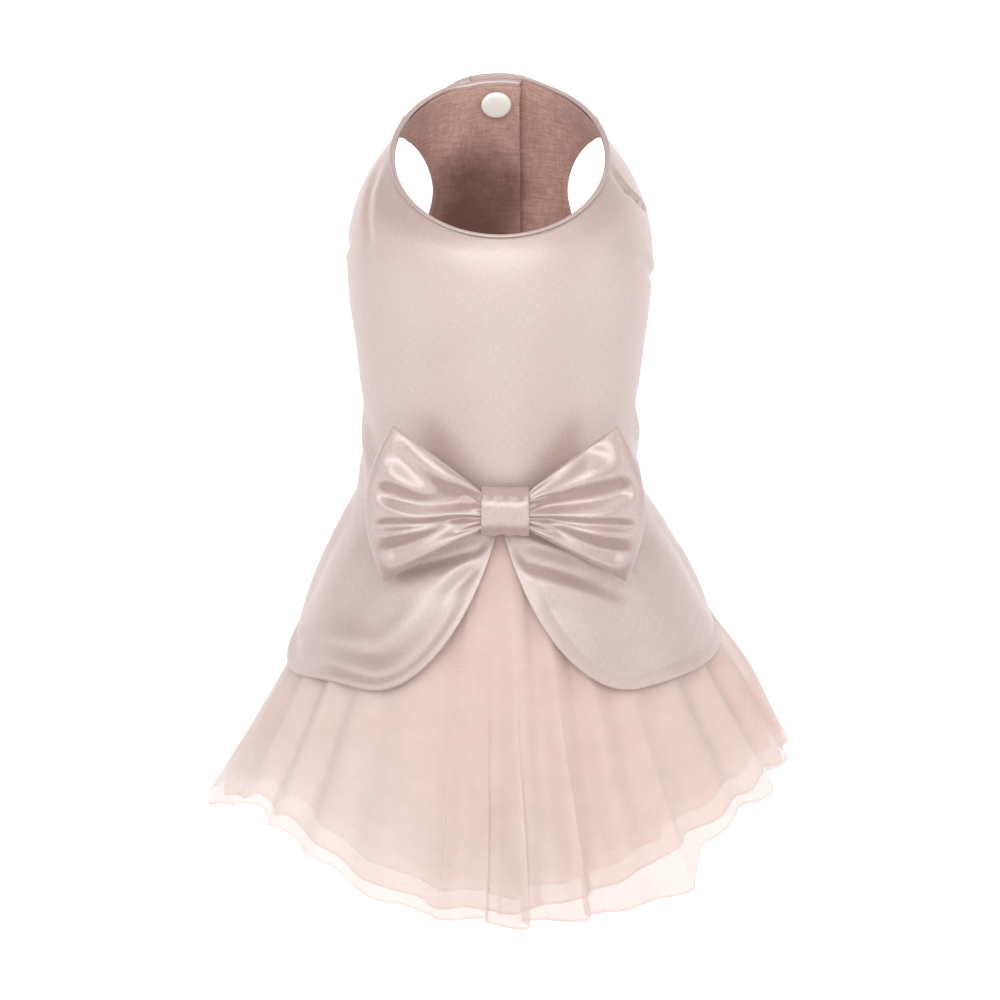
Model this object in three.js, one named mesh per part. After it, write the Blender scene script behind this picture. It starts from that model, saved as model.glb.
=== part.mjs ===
// A small dog's party dress in dusty pink satin, lined in slubbed cotton, with a bow, a
// two-petal satin peplum and a gathered skirt of three tulle layers. It keeps the filled-out
// shape that it has when worn, with nobody in it. Sizes are in millimetres, +Z is up, -Y is the
// side that lies over the dog's back, and the origin is the middle of the neck opening.
import * as THREE from 'three';

// Driving dimensions

const SATIN = 1.0;
const LINING = 1.0;
const TULLE = 1.0;
const PEPLUM_CLOTH = 1.2;
const BOW_CLOTH = 1.2;
const SEAM_GAP = 0.3;

// The trunk that the bodice is cut for, from the waist seam up to the neck opening. "up" runs from
// 0 to 1 along the bodice. Each section is an ellipse between a point over the dog's spine (back)
// and one on its breastbone (chest).
const BODICE_SECTIONS = [
  { up: 0.0, halfWidth: 59.0, backY: -48.0, backZ: -137, chestY: 48.0, chestZ: -137 },
  { up: 0.1, halfWidth: 57.0, backY: -47.2, backZ: -124, chestY: 47.5, chestZ: -123 },
  { up: 0.22, halfWidth: 55.6, backY: -46.8, backZ: -108, chestY: 48.0, chestZ: -106 },
  { up: 0.42, halfWidth: 58.4, backY: -48.0, backZ: -81, chestY: 50.5, chestZ: -77 },
  { up: 0.58, halfWidth: 61.2, backY: -49.2, backZ: -60, chestY: 53.0, chestZ: -52 },
  { up: 0.7, halfWidth: 61.8, backY: -49.6, backZ: -46, chestY: 53.5, chestZ: -32 },
  { up: 0.8, halfWidth: 60.0, backY: -49.2, backZ: -38, chestY: 52.0, chestZ: -12.5 },
  { up: 0.9, halfWidth: 54.2, backY: -47.4, backZ: -30.5, chestY: 48.0, chestZ: 7.5 },
  { up: 1.0, halfWidth: 42.4, backY: -43.6, backZ: -24, chestY: 42.0, chestZ: 26 },
];

// Angles go round the trunk in degrees, 0 at the middle of the dog's back, 180 at the breastbone.
const SIDE_SEAM = 120;
const SHOULDER_SEAM = 118;
const ARMHOLE = {
  up: 0.768,
  halfUp: 0.178,
  bottomAngle: 124,
  towardsBack: 18,
  towardsChest: 31,
  bottomRoundness: 0.5,
  topRoundness: 0.75,
};
const ROWS_BELOW_ARMHOLE = 4;
const ROWS_ALONG_ARMHOLE = 8;
const ROWS_ABOVE_ARMHOLE = 2;
const BACK_COLUMNS = 24;
const CHEST_COLUMNS = 7;

// The chest opens down its middle. The right flap lies outside and reaches past the middle to the
// left, and the left flap lies inside it and reaches past the middle to the right.
const OUTER_FLAP_REACH = 12;
const INNER_FLAP_REACH = 9;
const FLAP_STEP = 3;
const FLAP_STEP_START = 148;
const FLAP_STEP_END = 164;
const OUTER_FLAP_RISE = 1.7;
const FLAP_RISE_START = 150;
const FLAP_RISE_END = 178;
const FLAP_RISE_UP = 0.85;

const SNAP_RADIUS = 6.2;
const SNAP_HEIGHT = 1.9;
const SNAP_FACETS = 16;
const SNAP_RIM_SHARE = 0.45;
const SNAP_SHOULDER = { radius: 0.86, height: 0.85 };
const SNAP_MIDDLE_X = -1.8;
const SNAP_HOLLOW = 0.5;
const SNAP_STAND = 0.45;
const SNAP_POSITIONS = [{ up: 0.955 }, { up: 0.56 }, { up: 0.1 }];

// The skirt and the peplum hang from the waist seam, between the side seams.
const WAIST_Z = -137.3;
const WAIST_HALF_WIDTH = 59;
const WAIST_HALF_DEPTH = 48;
const SKIRT_EDGE = 119;
const SIDE_FLARE = 0.43;
const RIGHT_EXTRA_FLARE = 0.04;
const FRONT_FLARE = 0.33;

const PEPLUM = {
  length: 73,
  roundEnds: 38,
  roundness: 2.2,
  shortensFrom: 60,
  shortening: 0.07,
  shorteningSpan: 30,
  bulge: 2.4,
  firstAngle: 0.5,
  crowding: 1.35,
  columns: 14,
  rows: 6,
};

const TULLE_SIDE_LENGTH = 133;
const TULLE_BACK_EXTRA = 25;
const TULLE_LEFT_EXTRA = 8;
const TULLE_LAYERS = [
  { name: 'tulle_outer', shorter: 0, inset: 1.5 },
  { name: 'tulle_middle', shorter: 11, inset: 3.0 },
  { name: 'tulle_inner', shorter: 24, inset: 4.5 },
];
const TULLE_FOLDS = 18;
const TULLE_FOLD_DEPTH = 5.6;
const TULLE_WAIST_FOLD_DEPTH = 0.25;
const TULLE_SPREAD = 1.25;
const TULLE_KICK = 10;
const TULLE_KICK_START = 0.5;
const TULLE_KICK_POWER = 1.3;
const TULLE_KICK_OVER_BACK = 0.25;
const TULLE_HEM_WAVE = 1.6;
const TULLE_HEM_SHIFT = 4;
const TULLE_COLUMNS_PER_FOLD = 5;
const TULLE_ROW_SHARES = [1, 0.78, 0.54, 0];

// Slow waves that make the gathers uneven: drift moves them along, strength deepens them.
const GATHER_DRIFT = [
  { size: 0.3, rate: 9.1, start: 0.8 },
  { size: 0.16, rate: 21.7, start: 0 },
];
const GATHER_STRENGTH = [{ size: 0.28, rate: 23.3, start: 2 }];

const BOW = {
  x: 2,
  y: -57.6,
  z: -132,
  reach: 55.5,
  topReach: 44,
  bottomReach: 48,
  knotShare: 0.17,
  knotHeight: 6.4,
  topHeight: 34.8,
  bottomHeight: 30.4,
  knotFullness: 2.2,
  fullness: 6.2,
  sweepBack: 8.5,
  lean: 4,
  foldDepth: 2.3,
  folds: 4.5,
  foldStart: 0.5,
  spreadEnd: 1.12,
  fillsFrom: 0.1,
  fillsTo: 0.65,
  foldsTo: 0.45,
  columns: 32,
  rows: 14,
};
const KNOT = {
  width: 19,
  halfHeight: 9.2,
  front: -64,
  back: -49.8,
  frontCorner: 4.2,
  backCorner: 1,
  wall: 1.4,
  waist: 0.04,
  rows: 4,
  columns: 24,
};

const COLOURS = {
  satin: 0xd9c0ba,
  lining: 0xb48f88,
  tulle: 0xf0d3cd,
  snap: 0xefe9e2,
};

// Small helpers

const radians = THREE.MathUtils.degToRad;
const mix = THREE.MathUtils.lerp;
const smooth = (value, low, high) => THREE.MathUtils.smoothstep(value, low, high);

/** A column of a table at a place along it, through a smooth curve with the table's own slopes. */
function readTable(table, place, column) {
  let k = 0;
  while (k < table.length - 2 && place > table[k + 1].up) k += 1;
  const slopeAt = (n) => {
    const before = table[Math.max(n - 1, 0)];
    const after = table[Math.min(n + 1, table.length - 1)];
    return (after[column] - before[column]) / (after.up - before.up);
  };
  const span = table[k + 1].up - table[k].up;
  const t = (place - table[k].up) / span;
  const rise = table[k + 1][column] - table[k][column];
  const startSlope = slopeAt(k) * span;
  const endSlope = slopeAt(k + 1) * span;
  const square = t * t;
  const cube = square * t;
  return (
    table[k][column] +
    startSlope * t +
    (3 * rise - 2 * startSlope - endSlope) * square +
    (startSlope + endSlope - 2 * rise) * cube
  );
}

/** The outward unit normal of a surface point(a, b) at a place, by small differences. */
function normalOf(point, a, b) {
  const step = 1e-3;
  const alongA = point(a + step, b).sub(point(a - step, b));
  const alongB = point(a, b + step).sub(point(a, b - step));
  return alongA.cross(alongB).normalize();
}

/** A surface point moved out along its normal. */
function offsetPoint(point, a, b, offset) {
  return point(a, b).addScaledVector(normalOf(point, a, b), offset);
}

/**
 * A closed cloth wall between an outer and an inner grid of points. place(row, column, side)
 * gives a point, side 0 outside and 1 inside. A wall that wraps joins its last column to its first.
 */
function clothWall(rows, columns, place, wraps = false) {
  const across = wraps ? columns : columns + 1;
  const positions = [];
  for (let side = 0; side < 2; side += 1) {
    for (let row = 0; row <= rows; row += 1) {
      for (let column = 0; column < across; column += 1) {
        positions.push(...place(row, column, side).toArray());
      }
    }
  }
  const at = (row, column, side) =>
    side * (rows + 1) * across + row * across + (column % across);
  const faces = [];
  const quad = (a, b, c, d) => faces.push(a, b, c, a, c, d);
  for (let row = 0; row < rows; row += 1) {
    for (let column = 0; column < columns; column += 1) {
      const cell = (side) => [
        at(row, column, side),
        at(row, column + 1, side),
        at(row + 1, column + 1, side),
        at(row + 1, column, side),
      ];
      const [a, b, c, d] = cell(1);
      quad(...cell(0));
      quad(a, d, c, b);
    }
  }
  for (let column = 0; column < columns; column += 1) {
    quad(at(0, column, 1), at(0, column + 1, 1), at(0, column + 1, 0), at(0, column, 0));
    quad(at(rows, column, 0), at(rows, column + 1, 0), at(rows, column + 1, 1), at(rows, column, 1));
  }
  for (let row = 0; row < rows && !wraps; row += 1) {
    quad(at(row, 0, 0), at(row + 1, 0, 0), at(row + 1, 0, 1), at(row, 0, 1));
    quad(at(row, columns, 1), at(row + 1, columns, 1), at(row + 1, columns, 0), at(row, columns, 0));
  }
  const geometry = new THREE.BufferGeometry();
  geometry.setAttribute('position', new THREE.Float32BufferAttribute(positions, 3));
  geometry.setIndex(faces);
  geometry.computeVertexNormals();
  return geometry;
}

const dress = new THREE.Group();

/** Adds one named piece of the dress. */
function addPiece(name, geometry, colour, roughness) {
  const material = new THREE.MeshStandardMaterial({
    color: colour,
    roughness,
    metalness: 0,
    side: THREE.FrontSide,
  });
  const piece = new THREE.Mesh(geometry, material);
  piece.name = name;
  dress.add(piece);
  return piece;
}

// The bodice

/** A point of the trunk's surface at an angle round it and a place up it. */
function trunk(angle, up) {
  const read = (column) => readTable(BODICE_SECTIONS, up, column);
  const round = radians(angle);
  const towardsChest = (1 - Math.cos(round)) / 2;
  return new THREE.Vector3(
    read('halfWidth') * Math.sin(round),
    mix(read('backY'), read('chestY'), towardsChest),
    mix(read('backZ'), read('chestZ'), towardsChest),
  );
}

/** The rows of every bodice panel, each with the angles of its edges at the armhole or seam. */
function bodiceRows() {
  const rows = [];
  const armholeFoot = ARMHOLE.up - ARMHOLE.halfUp;
  const armholeTop = ARMHOLE.up + ARMHOLE.halfUp;
  for (let k = 0; k < ROWS_BELOW_ARMHOLE; k += 1) {
    const share = k / ROWS_BELOW_ARMHOLE;
    const seam = mix(SIDE_SEAM, ARMHOLE.bottomAngle, share);
    rows.push({ up: armholeFoot * share, backEdge: seam, chestEdge: seam });
  }
  for (let k = 0; k <= ROWS_ALONG_ARMHOLE; k += 1) {
    const share = k / ROWS_ALONG_ARMHOLE;
    const roundness = mix(ARMHOLE.bottomRoundness, ARMHOLE.topRoundness, share);
    const open = Math.abs(Math.sin(Math.PI * share)) ** roundness;
    const middle = mix(ARMHOLE.bottomAngle, SHOULDER_SEAM, share);
    rows.push({
      up: mix(armholeFoot, armholeTop, share),
      backEdge: middle - ARMHOLE.towardsBack * open,
      chestEdge: middle + ARMHOLE.towardsChest * open,
    });
  }
  for (let k = 1; k <= ROWS_ABOVE_ARMHOLE; k += 1) {
    const up = mix(armholeTop, 1, k / ROWS_ABOVE_ARMHOLE);
    rows.push({ up, backEdge: SHOULDER_SEAM, chestEdge: SHOULDER_SEAM });
  }
  return rows;
}

const ROWS = bodiceRows();
const SEAM_HALF_ANGLE = 0.16;

/** A point of a bodice panel at a depth under the trunk's surface, level along the waist seam. */
function bodicePoint(angle, up, under) {
  const point = offsetPoint(trunk, angle, up, -under);
  if (up === 0) point.z = BODICE_SECTIONS[0].backZ;
  return point;
}

/** The panel over the dog's back, from side seam to side seam, at a depth under the surface. */
function backWall(depth, thickness) {
  return clothWall(ROWS.length - 1, BACK_COLUMNS, (row, column, side) => {
    const edge = ROWS[row].backEdge - SEAM_HALF_ANGLE;
    const angle = mix(-edge, edge, column / BACK_COLUMNS);
    return bodicePoint(angle, ROWS[row].up, depth + side * thickness);
  });
}

/** The angle at which a flap's free edge lies, where it reaches past the middle by a distance. */
function flapEdgeAngle(up, reach) {
  const halfWidth = readTable(BODICE_SECTIONS, up, 'halfWidth');
  return 180 + THREE.MathUtils.radToDeg(Math.asin(reach / halfWidth));
}

/** How far a flap lies under the trunk's surface, where the inner one steps under the outer. */
function flapStep(angle, isInner) {
  return isInner ? FLAP_STEP * smooth(angle, FLAP_STEP_START, FLAP_STEP_END) : 0;
}

/** A point of the outer or inner half of the chest, at a depth under that half's own surface. */
function chestPoint(isInner, angle, up, depth) {
  const handed = isInner ? -1 : 1;
  const point = bodicePoint(handed * angle, up, depth + flapStep(angle, isInner));
  if (!isInner) {
    const nearEdge = smooth(angle, FLAP_RISE_START, FLAP_RISE_END);
    point.z += OUTER_FLAP_RISE * nearEdge * smooth(up, FLAP_RISE_UP, 1);
  }
  return point;
}

/** One half of the chest and belly, from the side seam to its flap's free edge. */
function chestWall(isInner, depth, thickness) {
  const reach = isInner ? INNER_FLAP_REACH : OUTER_FLAP_REACH;
  return clothWall(ROWS.length - 1, CHEST_COLUMNS, (row, column, side) => {
    const { up, chestEdge } = ROWS[row];
    const first = chestEdge + SEAM_HALF_ANGLE;
    const share = isInner ? 1 - column / CHEST_COLUMNS : column / CHEST_COLUMNS;
    const angle = mix(first, flapEdgeAngle(up, reach), share);
    return chestPoint(isInner, angle, up, depth + side * thickness);
  });
}

addPiece('back_panel', backWall(0, SATIN), COLOURS.satin, 0.4);
addPiece('back_lining', backWall(SATIN + SEAM_GAP, LINING), COLOURS.lining, 0.9);
addPiece('chest_panel_left', chestWall(true, 0, SATIN), COLOURS.satin, 0.4);
addPiece('chest_lining_left', chestWall(true, SATIN + SEAM_GAP, LINING), COLOURS.lining, 0.9);
addPiece('chest_panel_right', chestWall(false, 0, SATIN), COLOURS.satin, 0.4);
addPiece('chest_lining_right', chestWall(false, SATIN + SEAM_GAP, LINING), COLOURS.lining, 0.9);

// The snaps of the chest opening

/** A domed plastic cap, its flat back on the XY plane. */
function snapCap() {
  const dome = [
    [0, 0],
    [SNAP_RADIUS, 0],
    [SNAP_RADIUS, SNAP_HEIGHT * SNAP_RIM_SHARE],
    [SNAP_RADIUS * SNAP_SHOULDER.radius, SNAP_HEIGHT * SNAP_SHOULDER.height],
    [0, SNAP_HEIGHT],
  ];
  const profile = dome.map(([radius, height]) => new THREE.Vector2(radius, height));
  const cap = new THREE.LatheGeometry(profile, SNAP_FACETS);
  return cap.rotateX(Math.PI / 2);
}

/** A snap's cap on the cloth, facing out of the garment or into it. */
function addSnap(name, up, facesOut) {
  const halfWidth = readTable(BODICE_SECTIONS, up, 'halfWidth');
  const fromMiddle = THREE.MathUtils.radToDeg(Math.asin(SNAP_MIDDLE_X / halfWidth));
  const angle = facesOut ? 180 - fromMiddle : 180 + fromMiddle;
  const handed = facesOut ? 1 : -1;
  const outward = normalOf(trunk, handed * angle, up);
  const depth = facesOut ? -SNAP_STAND : SATIN + SEAM_GAP + LINING + SEAM_GAP + SNAP_HOLLOW;
  const snap = addPiece(name, snapCap(), COLOURS.snap, 0.3);
  snap.position.copy(chestPoint(!facesOut, angle, up, depth));
  const faces = facesOut ? outward : outward.clone().negate();
  snap.quaternion.setFromUnitVectors(new THREE.Vector3(0, 0, 1), faces);
}

SNAP_POSITIONS.forEach(({ up }, k) => {
  addSnap(`snap_inside_${k + 1}`, up, false);
  addSnap(`snap_outside_${k + 1}`, up, true);
});

// The peplum and the tulle skirt

/** A point of the skirt's outer form at an angle and a distance down its slope. */
function skirtForm(angle, down) {
  const round = radians(angle);
  const sideFlare = SIDE_FLARE + RIGHT_EXTRA_FLARE * Math.sin(round);
  const flare = Math.hypot(sideFlare * Math.sin(round), FRONT_FLARE * Math.cos(round));
  return new THREE.Vector3(
    (WAIST_HALF_WIDTH + sideFlare * down) * Math.sin(round),
    -(WAIST_HALF_DEPTH + FRONT_FLARE * down) * Math.cos(round),
    WAIST_Z - down * Math.sqrt(1 - flare * flare),
  );
}

/** A petal's length at an angle: short at its split, full at its middle, rounded at its far end. */
function petalLength(angle) {
  const nearSplit = Math.max(1 - angle / PEPLUM.roundEnds, 0) ** PEPLUM.roundness;
  const pastMiddle = Math.max(angle - PEPLUM.shortensFrom, 0) / PEPLUM.shorteningSpan;
  return PEPLUM.length * (1 - nearSplit) * (1 - PEPLUM.shortening * pastMiddle ** 2);
}

/** A satin petal of the peplum, on the right (1) or the left (-1). */
function petalWall(handed) {
  const surface = (angle, down) => {
    const point = skirtForm(angle, down);
    const fullness = PEPLUM.bulge * Math.sin((Math.PI * down) / PEPLUM.length);
    const out = new THREE.Vector3(point.x, point.y, 0).normalize();
    return point.addScaledVector(out, fullness);
  };
  return clothWall(PEPLUM.rows, PEPLUM.columns, (row, column, side) => {
    const share = handed > 0 ? column / PEPLUM.columns : 1 - column / PEPLUM.columns;
    const angle = mix(PEPLUM.firstAngle, SKIRT_EDGE, share ** PEPLUM.crowding);
    const down = petalLength(angle) * (1 - row / PEPLUM.rows);
    const point = offsetPoint(surface, handed * angle, down, side * PEPLUM_CLOTH);
    if (row === PEPLUM.rows) point.z = WAIST_Z;
    return point;
  });
}

/** The sum of a table's sine waves at a place. */
function sumOfWaves(waves, place) {
  return waves.reduce((sum, { size, rate, start }) => sum + size * Math.sin(rate * place + start), 0);
}

/** The wave of the gathers round the skirt, from -1 in a hollow to 1 on a ridge. */
function gather(angle) {
  const share = (angle + SKIRT_EDGE) / (2 * SKIRT_EDGE);
  const drift = sumOfWaves(GATHER_DRIFT, share);
  const strength = 1 - GATHER_STRENGTH[0].size + sumOfWaves(GATHER_STRENGTH, share);
  return strength * Math.cos(2 * Math.PI * (TULLE_FOLDS * share + drift));
}

/** The length of the outer tulle at an angle: longest over the dog's back. */
function tulleLength(angle) {
  const round = radians(angle);
  const overBack = Math.max(Math.cos(round), 0) ** 3;
  return (
    TULLE_SIDE_LENGTH +
    TULLE_BACK_EXTRA * overBack -
    TULLE_LEFT_EXTRA * Math.sin(round) +
    TULLE_HEM_WAVE * gather(angle + TULLE_HEM_SHIFT)
  );
}

/** How much of the hem's kick outwards the tulle has: most at the sides, least over the back. */
function kickAt(angle, along) {
  const downHem = (Math.max(along - TULLE_KICK_START, 0) / (1 - TULLE_KICK_START)) ** TULLE_KICK_POWER;
  return downHem * mix(TULLE_KICK_OVER_BACK, 1, Math.sin(radians(angle)) ** 2);
}

/** One gathered layer of tulle. */
function tulleWall({ shorter, inset }) {
  const surface = (angle, share) => {
    const down = share * (tulleLength(angle) - shorter);
    const point = skirtForm(angle, down);
    const along = down / TULLE_SIDE_LENGTH;
    const depth = mix(TULLE_WAIST_FOLD_DEPTH, TULLE_FOLD_DEPTH, along);
    const room = inset * (1 + TULLE_SPREAD * along) - TULLE_KICK * kickAt(angle, along);
    const under = room + depth * (1 - gather(angle));
    const round = radians(angle);
    const out = new THREE.Vector3(
      Math.sin(round) / WAIST_HALF_WIDTH,
      -Math.cos(round) / WAIST_HALF_DEPTH,
      0,
    ).normalize();
    return point.addScaledVector(out, -under);
  };
  const columns = TULLE_FOLDS * TULLE_COLUMNS_PER_FOLD;
  const lastRow = TULLE_ROW_SHARES.length - 1;
  return clothWall(lastRow, columns, (row, column, side) => {
    const angle = mix(-SKIRT_EDGE, SKIRT_EDGE, column / columns);
    const point = offsetPoint(surface, angle, TULLE_ROW_SHARES[row], side * TULLE);
    if (row === lastRow) point.z = WAIST_Z;
    return point;
  });
}

addPiece('peplum_left', petalWall(-1), COLOURS.satin, 0.4);
addPiece('peplum_right', petalWall(1), COLOURS.satin, 0.4);
TULLE_LAYERS.forEach((layer) => {
  addPiece(layer.name, tulleWall(layer), COLOURS.tulle, 0.95);
});

// The bow

/** A point of the bow's outside. turn runs round its two loops, across from -1 below to 1 above. */
function bowSurface(turn, across) {
  const outward = Math.sin(turn);
  const onFront = Math.cos(turn) > 0;
  const share = Math.abs(outward);
  const edgeReach = across > 0 ? BOW.topReach : BOW.bottomReach;
  const reach = mix(BOW.reach, edgeReach, across * across);
  const height = across > 0 ? BOW.topHeight : BOW.bottomHeight;
  const spread = smooth(share, BOW.knotShare, BOW.spreadEnd);
  const full = mix(BOW.knotFullness, BOW.fullness, smooth(share, BOW.fillsFrom, BOW.fillsTo));
  const closing = Math.sqrt(1 - share ** 5);
  const folds = Math.cos(Math.PI * BOW.folds * across + BOW.foldStart);
  const folded = smooth(share, BOW.fillsFrom, BOW.foldsTo) * closing;
  const foldDepth = onFront ? BOW.foldDepth * folded : 0;
  const half = full * closing + foldDepth * folds * 0.5;
  const lean = BOW.lean * Math.max(-across, 0) * share;
  return new THREE.Vector3(
    BOW.x + outward * reach,
    BOW.y + BOW.sweepBack * share ** 2 - lean + (onFront ? -half : half),
    BOW.z + across * mix(BOW.knotHeight, height, spread),
  );
}

/** Both loops of the bow, one band of satin that runs round through the knot. */
function bowWall() {
  return clothWall(
    BOW.rows,
    BOW.columns,
    (row, column, side) => {
      const turn = (2 * Math.PI * (column + 0.5)) / BOW.columns;
      const across = (2 * row) / BOW.rows - 1;
      return offsetPoint(bowSurface, turn, across, -side * BOW_CLOTH);
    },
    true,
  );
}

/** The knot band's section, in y and z, rounded most at its front. */
function knotSection() {
  const { halfHeight, front, back, frontCorner, backCorner } = KNOT;
  const section = new THREE.Path();
  section.moveTo(front + frontCorner, -halfHeight);
  section.lineTo(back - backCorner, -halfHeight);
  section.quadraticCurveTo(back, -halfHeight, back, -halfHeight + backCorner);
  section.lineTo(back, halfHeight - backCorner);
  section.quadraticCurveTo(back, halfHeight, back - backCorner, halfHeight);
  section.lineTo(front + frontCorner, halfHeight);
  section.quadraticCurveTo(front, halfHeight, front, halfHeight - frontCorner);
  section.lineTo(front, -halfHeight + frontCorner);
  section.quadraticCurveTo(front, -halfHeight, front + frontCorner, -halfHeight);
  return section.getSpacedPoints(KNOT.columns).slice(0, KNOT.columns);
}

/** The band round the middle of the bow, drawn in a little at its middle. */
function knotWall() {
  const section = knotSection();
  const middle = new THREE.Vector2((KNOT.front + KNOT.back) / 2, 0);
  return clothWall(
    KNOT.rows,
    KNOT.columns,
    (row, column, side) => {
      const outer = section[column];
      const inward = middle.clone().sub(outer).setLength(side * KNOT.wall);
      const waisted = 1 - KNOT.waist * Math.sin((Math.PI * row) / KNOT.rows);
      const x = BOW.x + (row / KNOT.rows - 0.5) * KNOT.width;
      return new THREE.Vector3(x, outer.x + inward.x, BOW.z + outer.y * waisted + inward.y);
    },
    true,
  );
}

addPiece('bow_loops', bowWall(), COLOURS.satin, 0.35);
addPiece('bow_knot', knotWall(), COLOURS.satin, 0.35);

export default dress;
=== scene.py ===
"""Looks of a small dog's satin and tulle party dress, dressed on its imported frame, in metres."""

from __future__ import annotations

import logging
import math
from dataclasses import dataclass, field
from enum import Enum
from typing import Any, Callable, Sequence

import bmesh
import bpy
import numpy as np
from mathutils import Matrix, Vector


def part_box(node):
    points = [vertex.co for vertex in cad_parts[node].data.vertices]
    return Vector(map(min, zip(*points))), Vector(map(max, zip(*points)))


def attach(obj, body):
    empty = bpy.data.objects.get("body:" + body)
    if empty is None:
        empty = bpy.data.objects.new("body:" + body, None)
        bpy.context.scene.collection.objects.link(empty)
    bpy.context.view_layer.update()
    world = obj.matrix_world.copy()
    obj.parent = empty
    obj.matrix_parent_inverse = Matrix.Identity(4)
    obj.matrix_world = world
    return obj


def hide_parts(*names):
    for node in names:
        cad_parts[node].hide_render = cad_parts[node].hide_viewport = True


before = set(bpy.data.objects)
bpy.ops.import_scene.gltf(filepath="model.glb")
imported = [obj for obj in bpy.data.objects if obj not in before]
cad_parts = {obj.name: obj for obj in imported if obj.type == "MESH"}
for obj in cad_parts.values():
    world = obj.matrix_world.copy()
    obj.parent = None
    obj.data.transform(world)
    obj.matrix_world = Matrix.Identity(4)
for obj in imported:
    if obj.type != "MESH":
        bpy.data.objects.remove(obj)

LOG = logging.getLogger("dog_dress")
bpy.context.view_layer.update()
MM = 0.001
ROOT = "root"
RGBA = tuple[float, float, float, float]
LEVEL = np.array([1.0, 1.0, 0.0])


# Shader building


class Signal:
    """A value socket whose arithmetic adds Math nodes to its material."""

    def __init__(self, finish: Finish, socket: bpy.types.NodeSocket) -> None:
        """Keep the material and the socket."""
        self.finish = finish
        self.socket = socket

    def _with(self, operation: str, *values: Any) -> Signal:
        """Add one Math node and give its output."""
        return self.finish.maths(operation, *values)

    def __add__(self, other: Any) -> Signal:
        """Sum."""
        return self._with("ADD", self, other)

    __radd__ = __add__

    def __sub__(self, other: Any) -> Signal:
        """Difference."""
        return self._with("SUBTRACT", self, other)

    def __rsub__(self, other: Any) -> Signal:
        """Reflected difference."""
        return self._with("SUBTRACT", other, self)

    def __mul__(self, other: Any) -> Signal:
        """Product."""
        return self._with("MULTIPLY", self, other)

    __rmul__ = __mul__

    def __truediv__(self, other: Any) -> Signal:
        """Quotient."""
        return self._with("DIVIDE", self, other)

    def __rtruediv__(self, other: Any) -> Signal:
        """Reflected quotient."""
        return self._with("DIVIDE", other, self)

    def below(self, other: Any) -> Signal:
        """1 where this is less than the other."""
        return self._with("LESS_THAN", self, other)

    def largest(self, other: Any) -> Signal:
        """The larger of the two."""
        return self._with("MAXIMUM", self, other)

    def clamped(self) -> Signal:
        """Kept from 0 to 1."""
        return self._with("MINIMUM", self.largest(0.0), 1.0)


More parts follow.
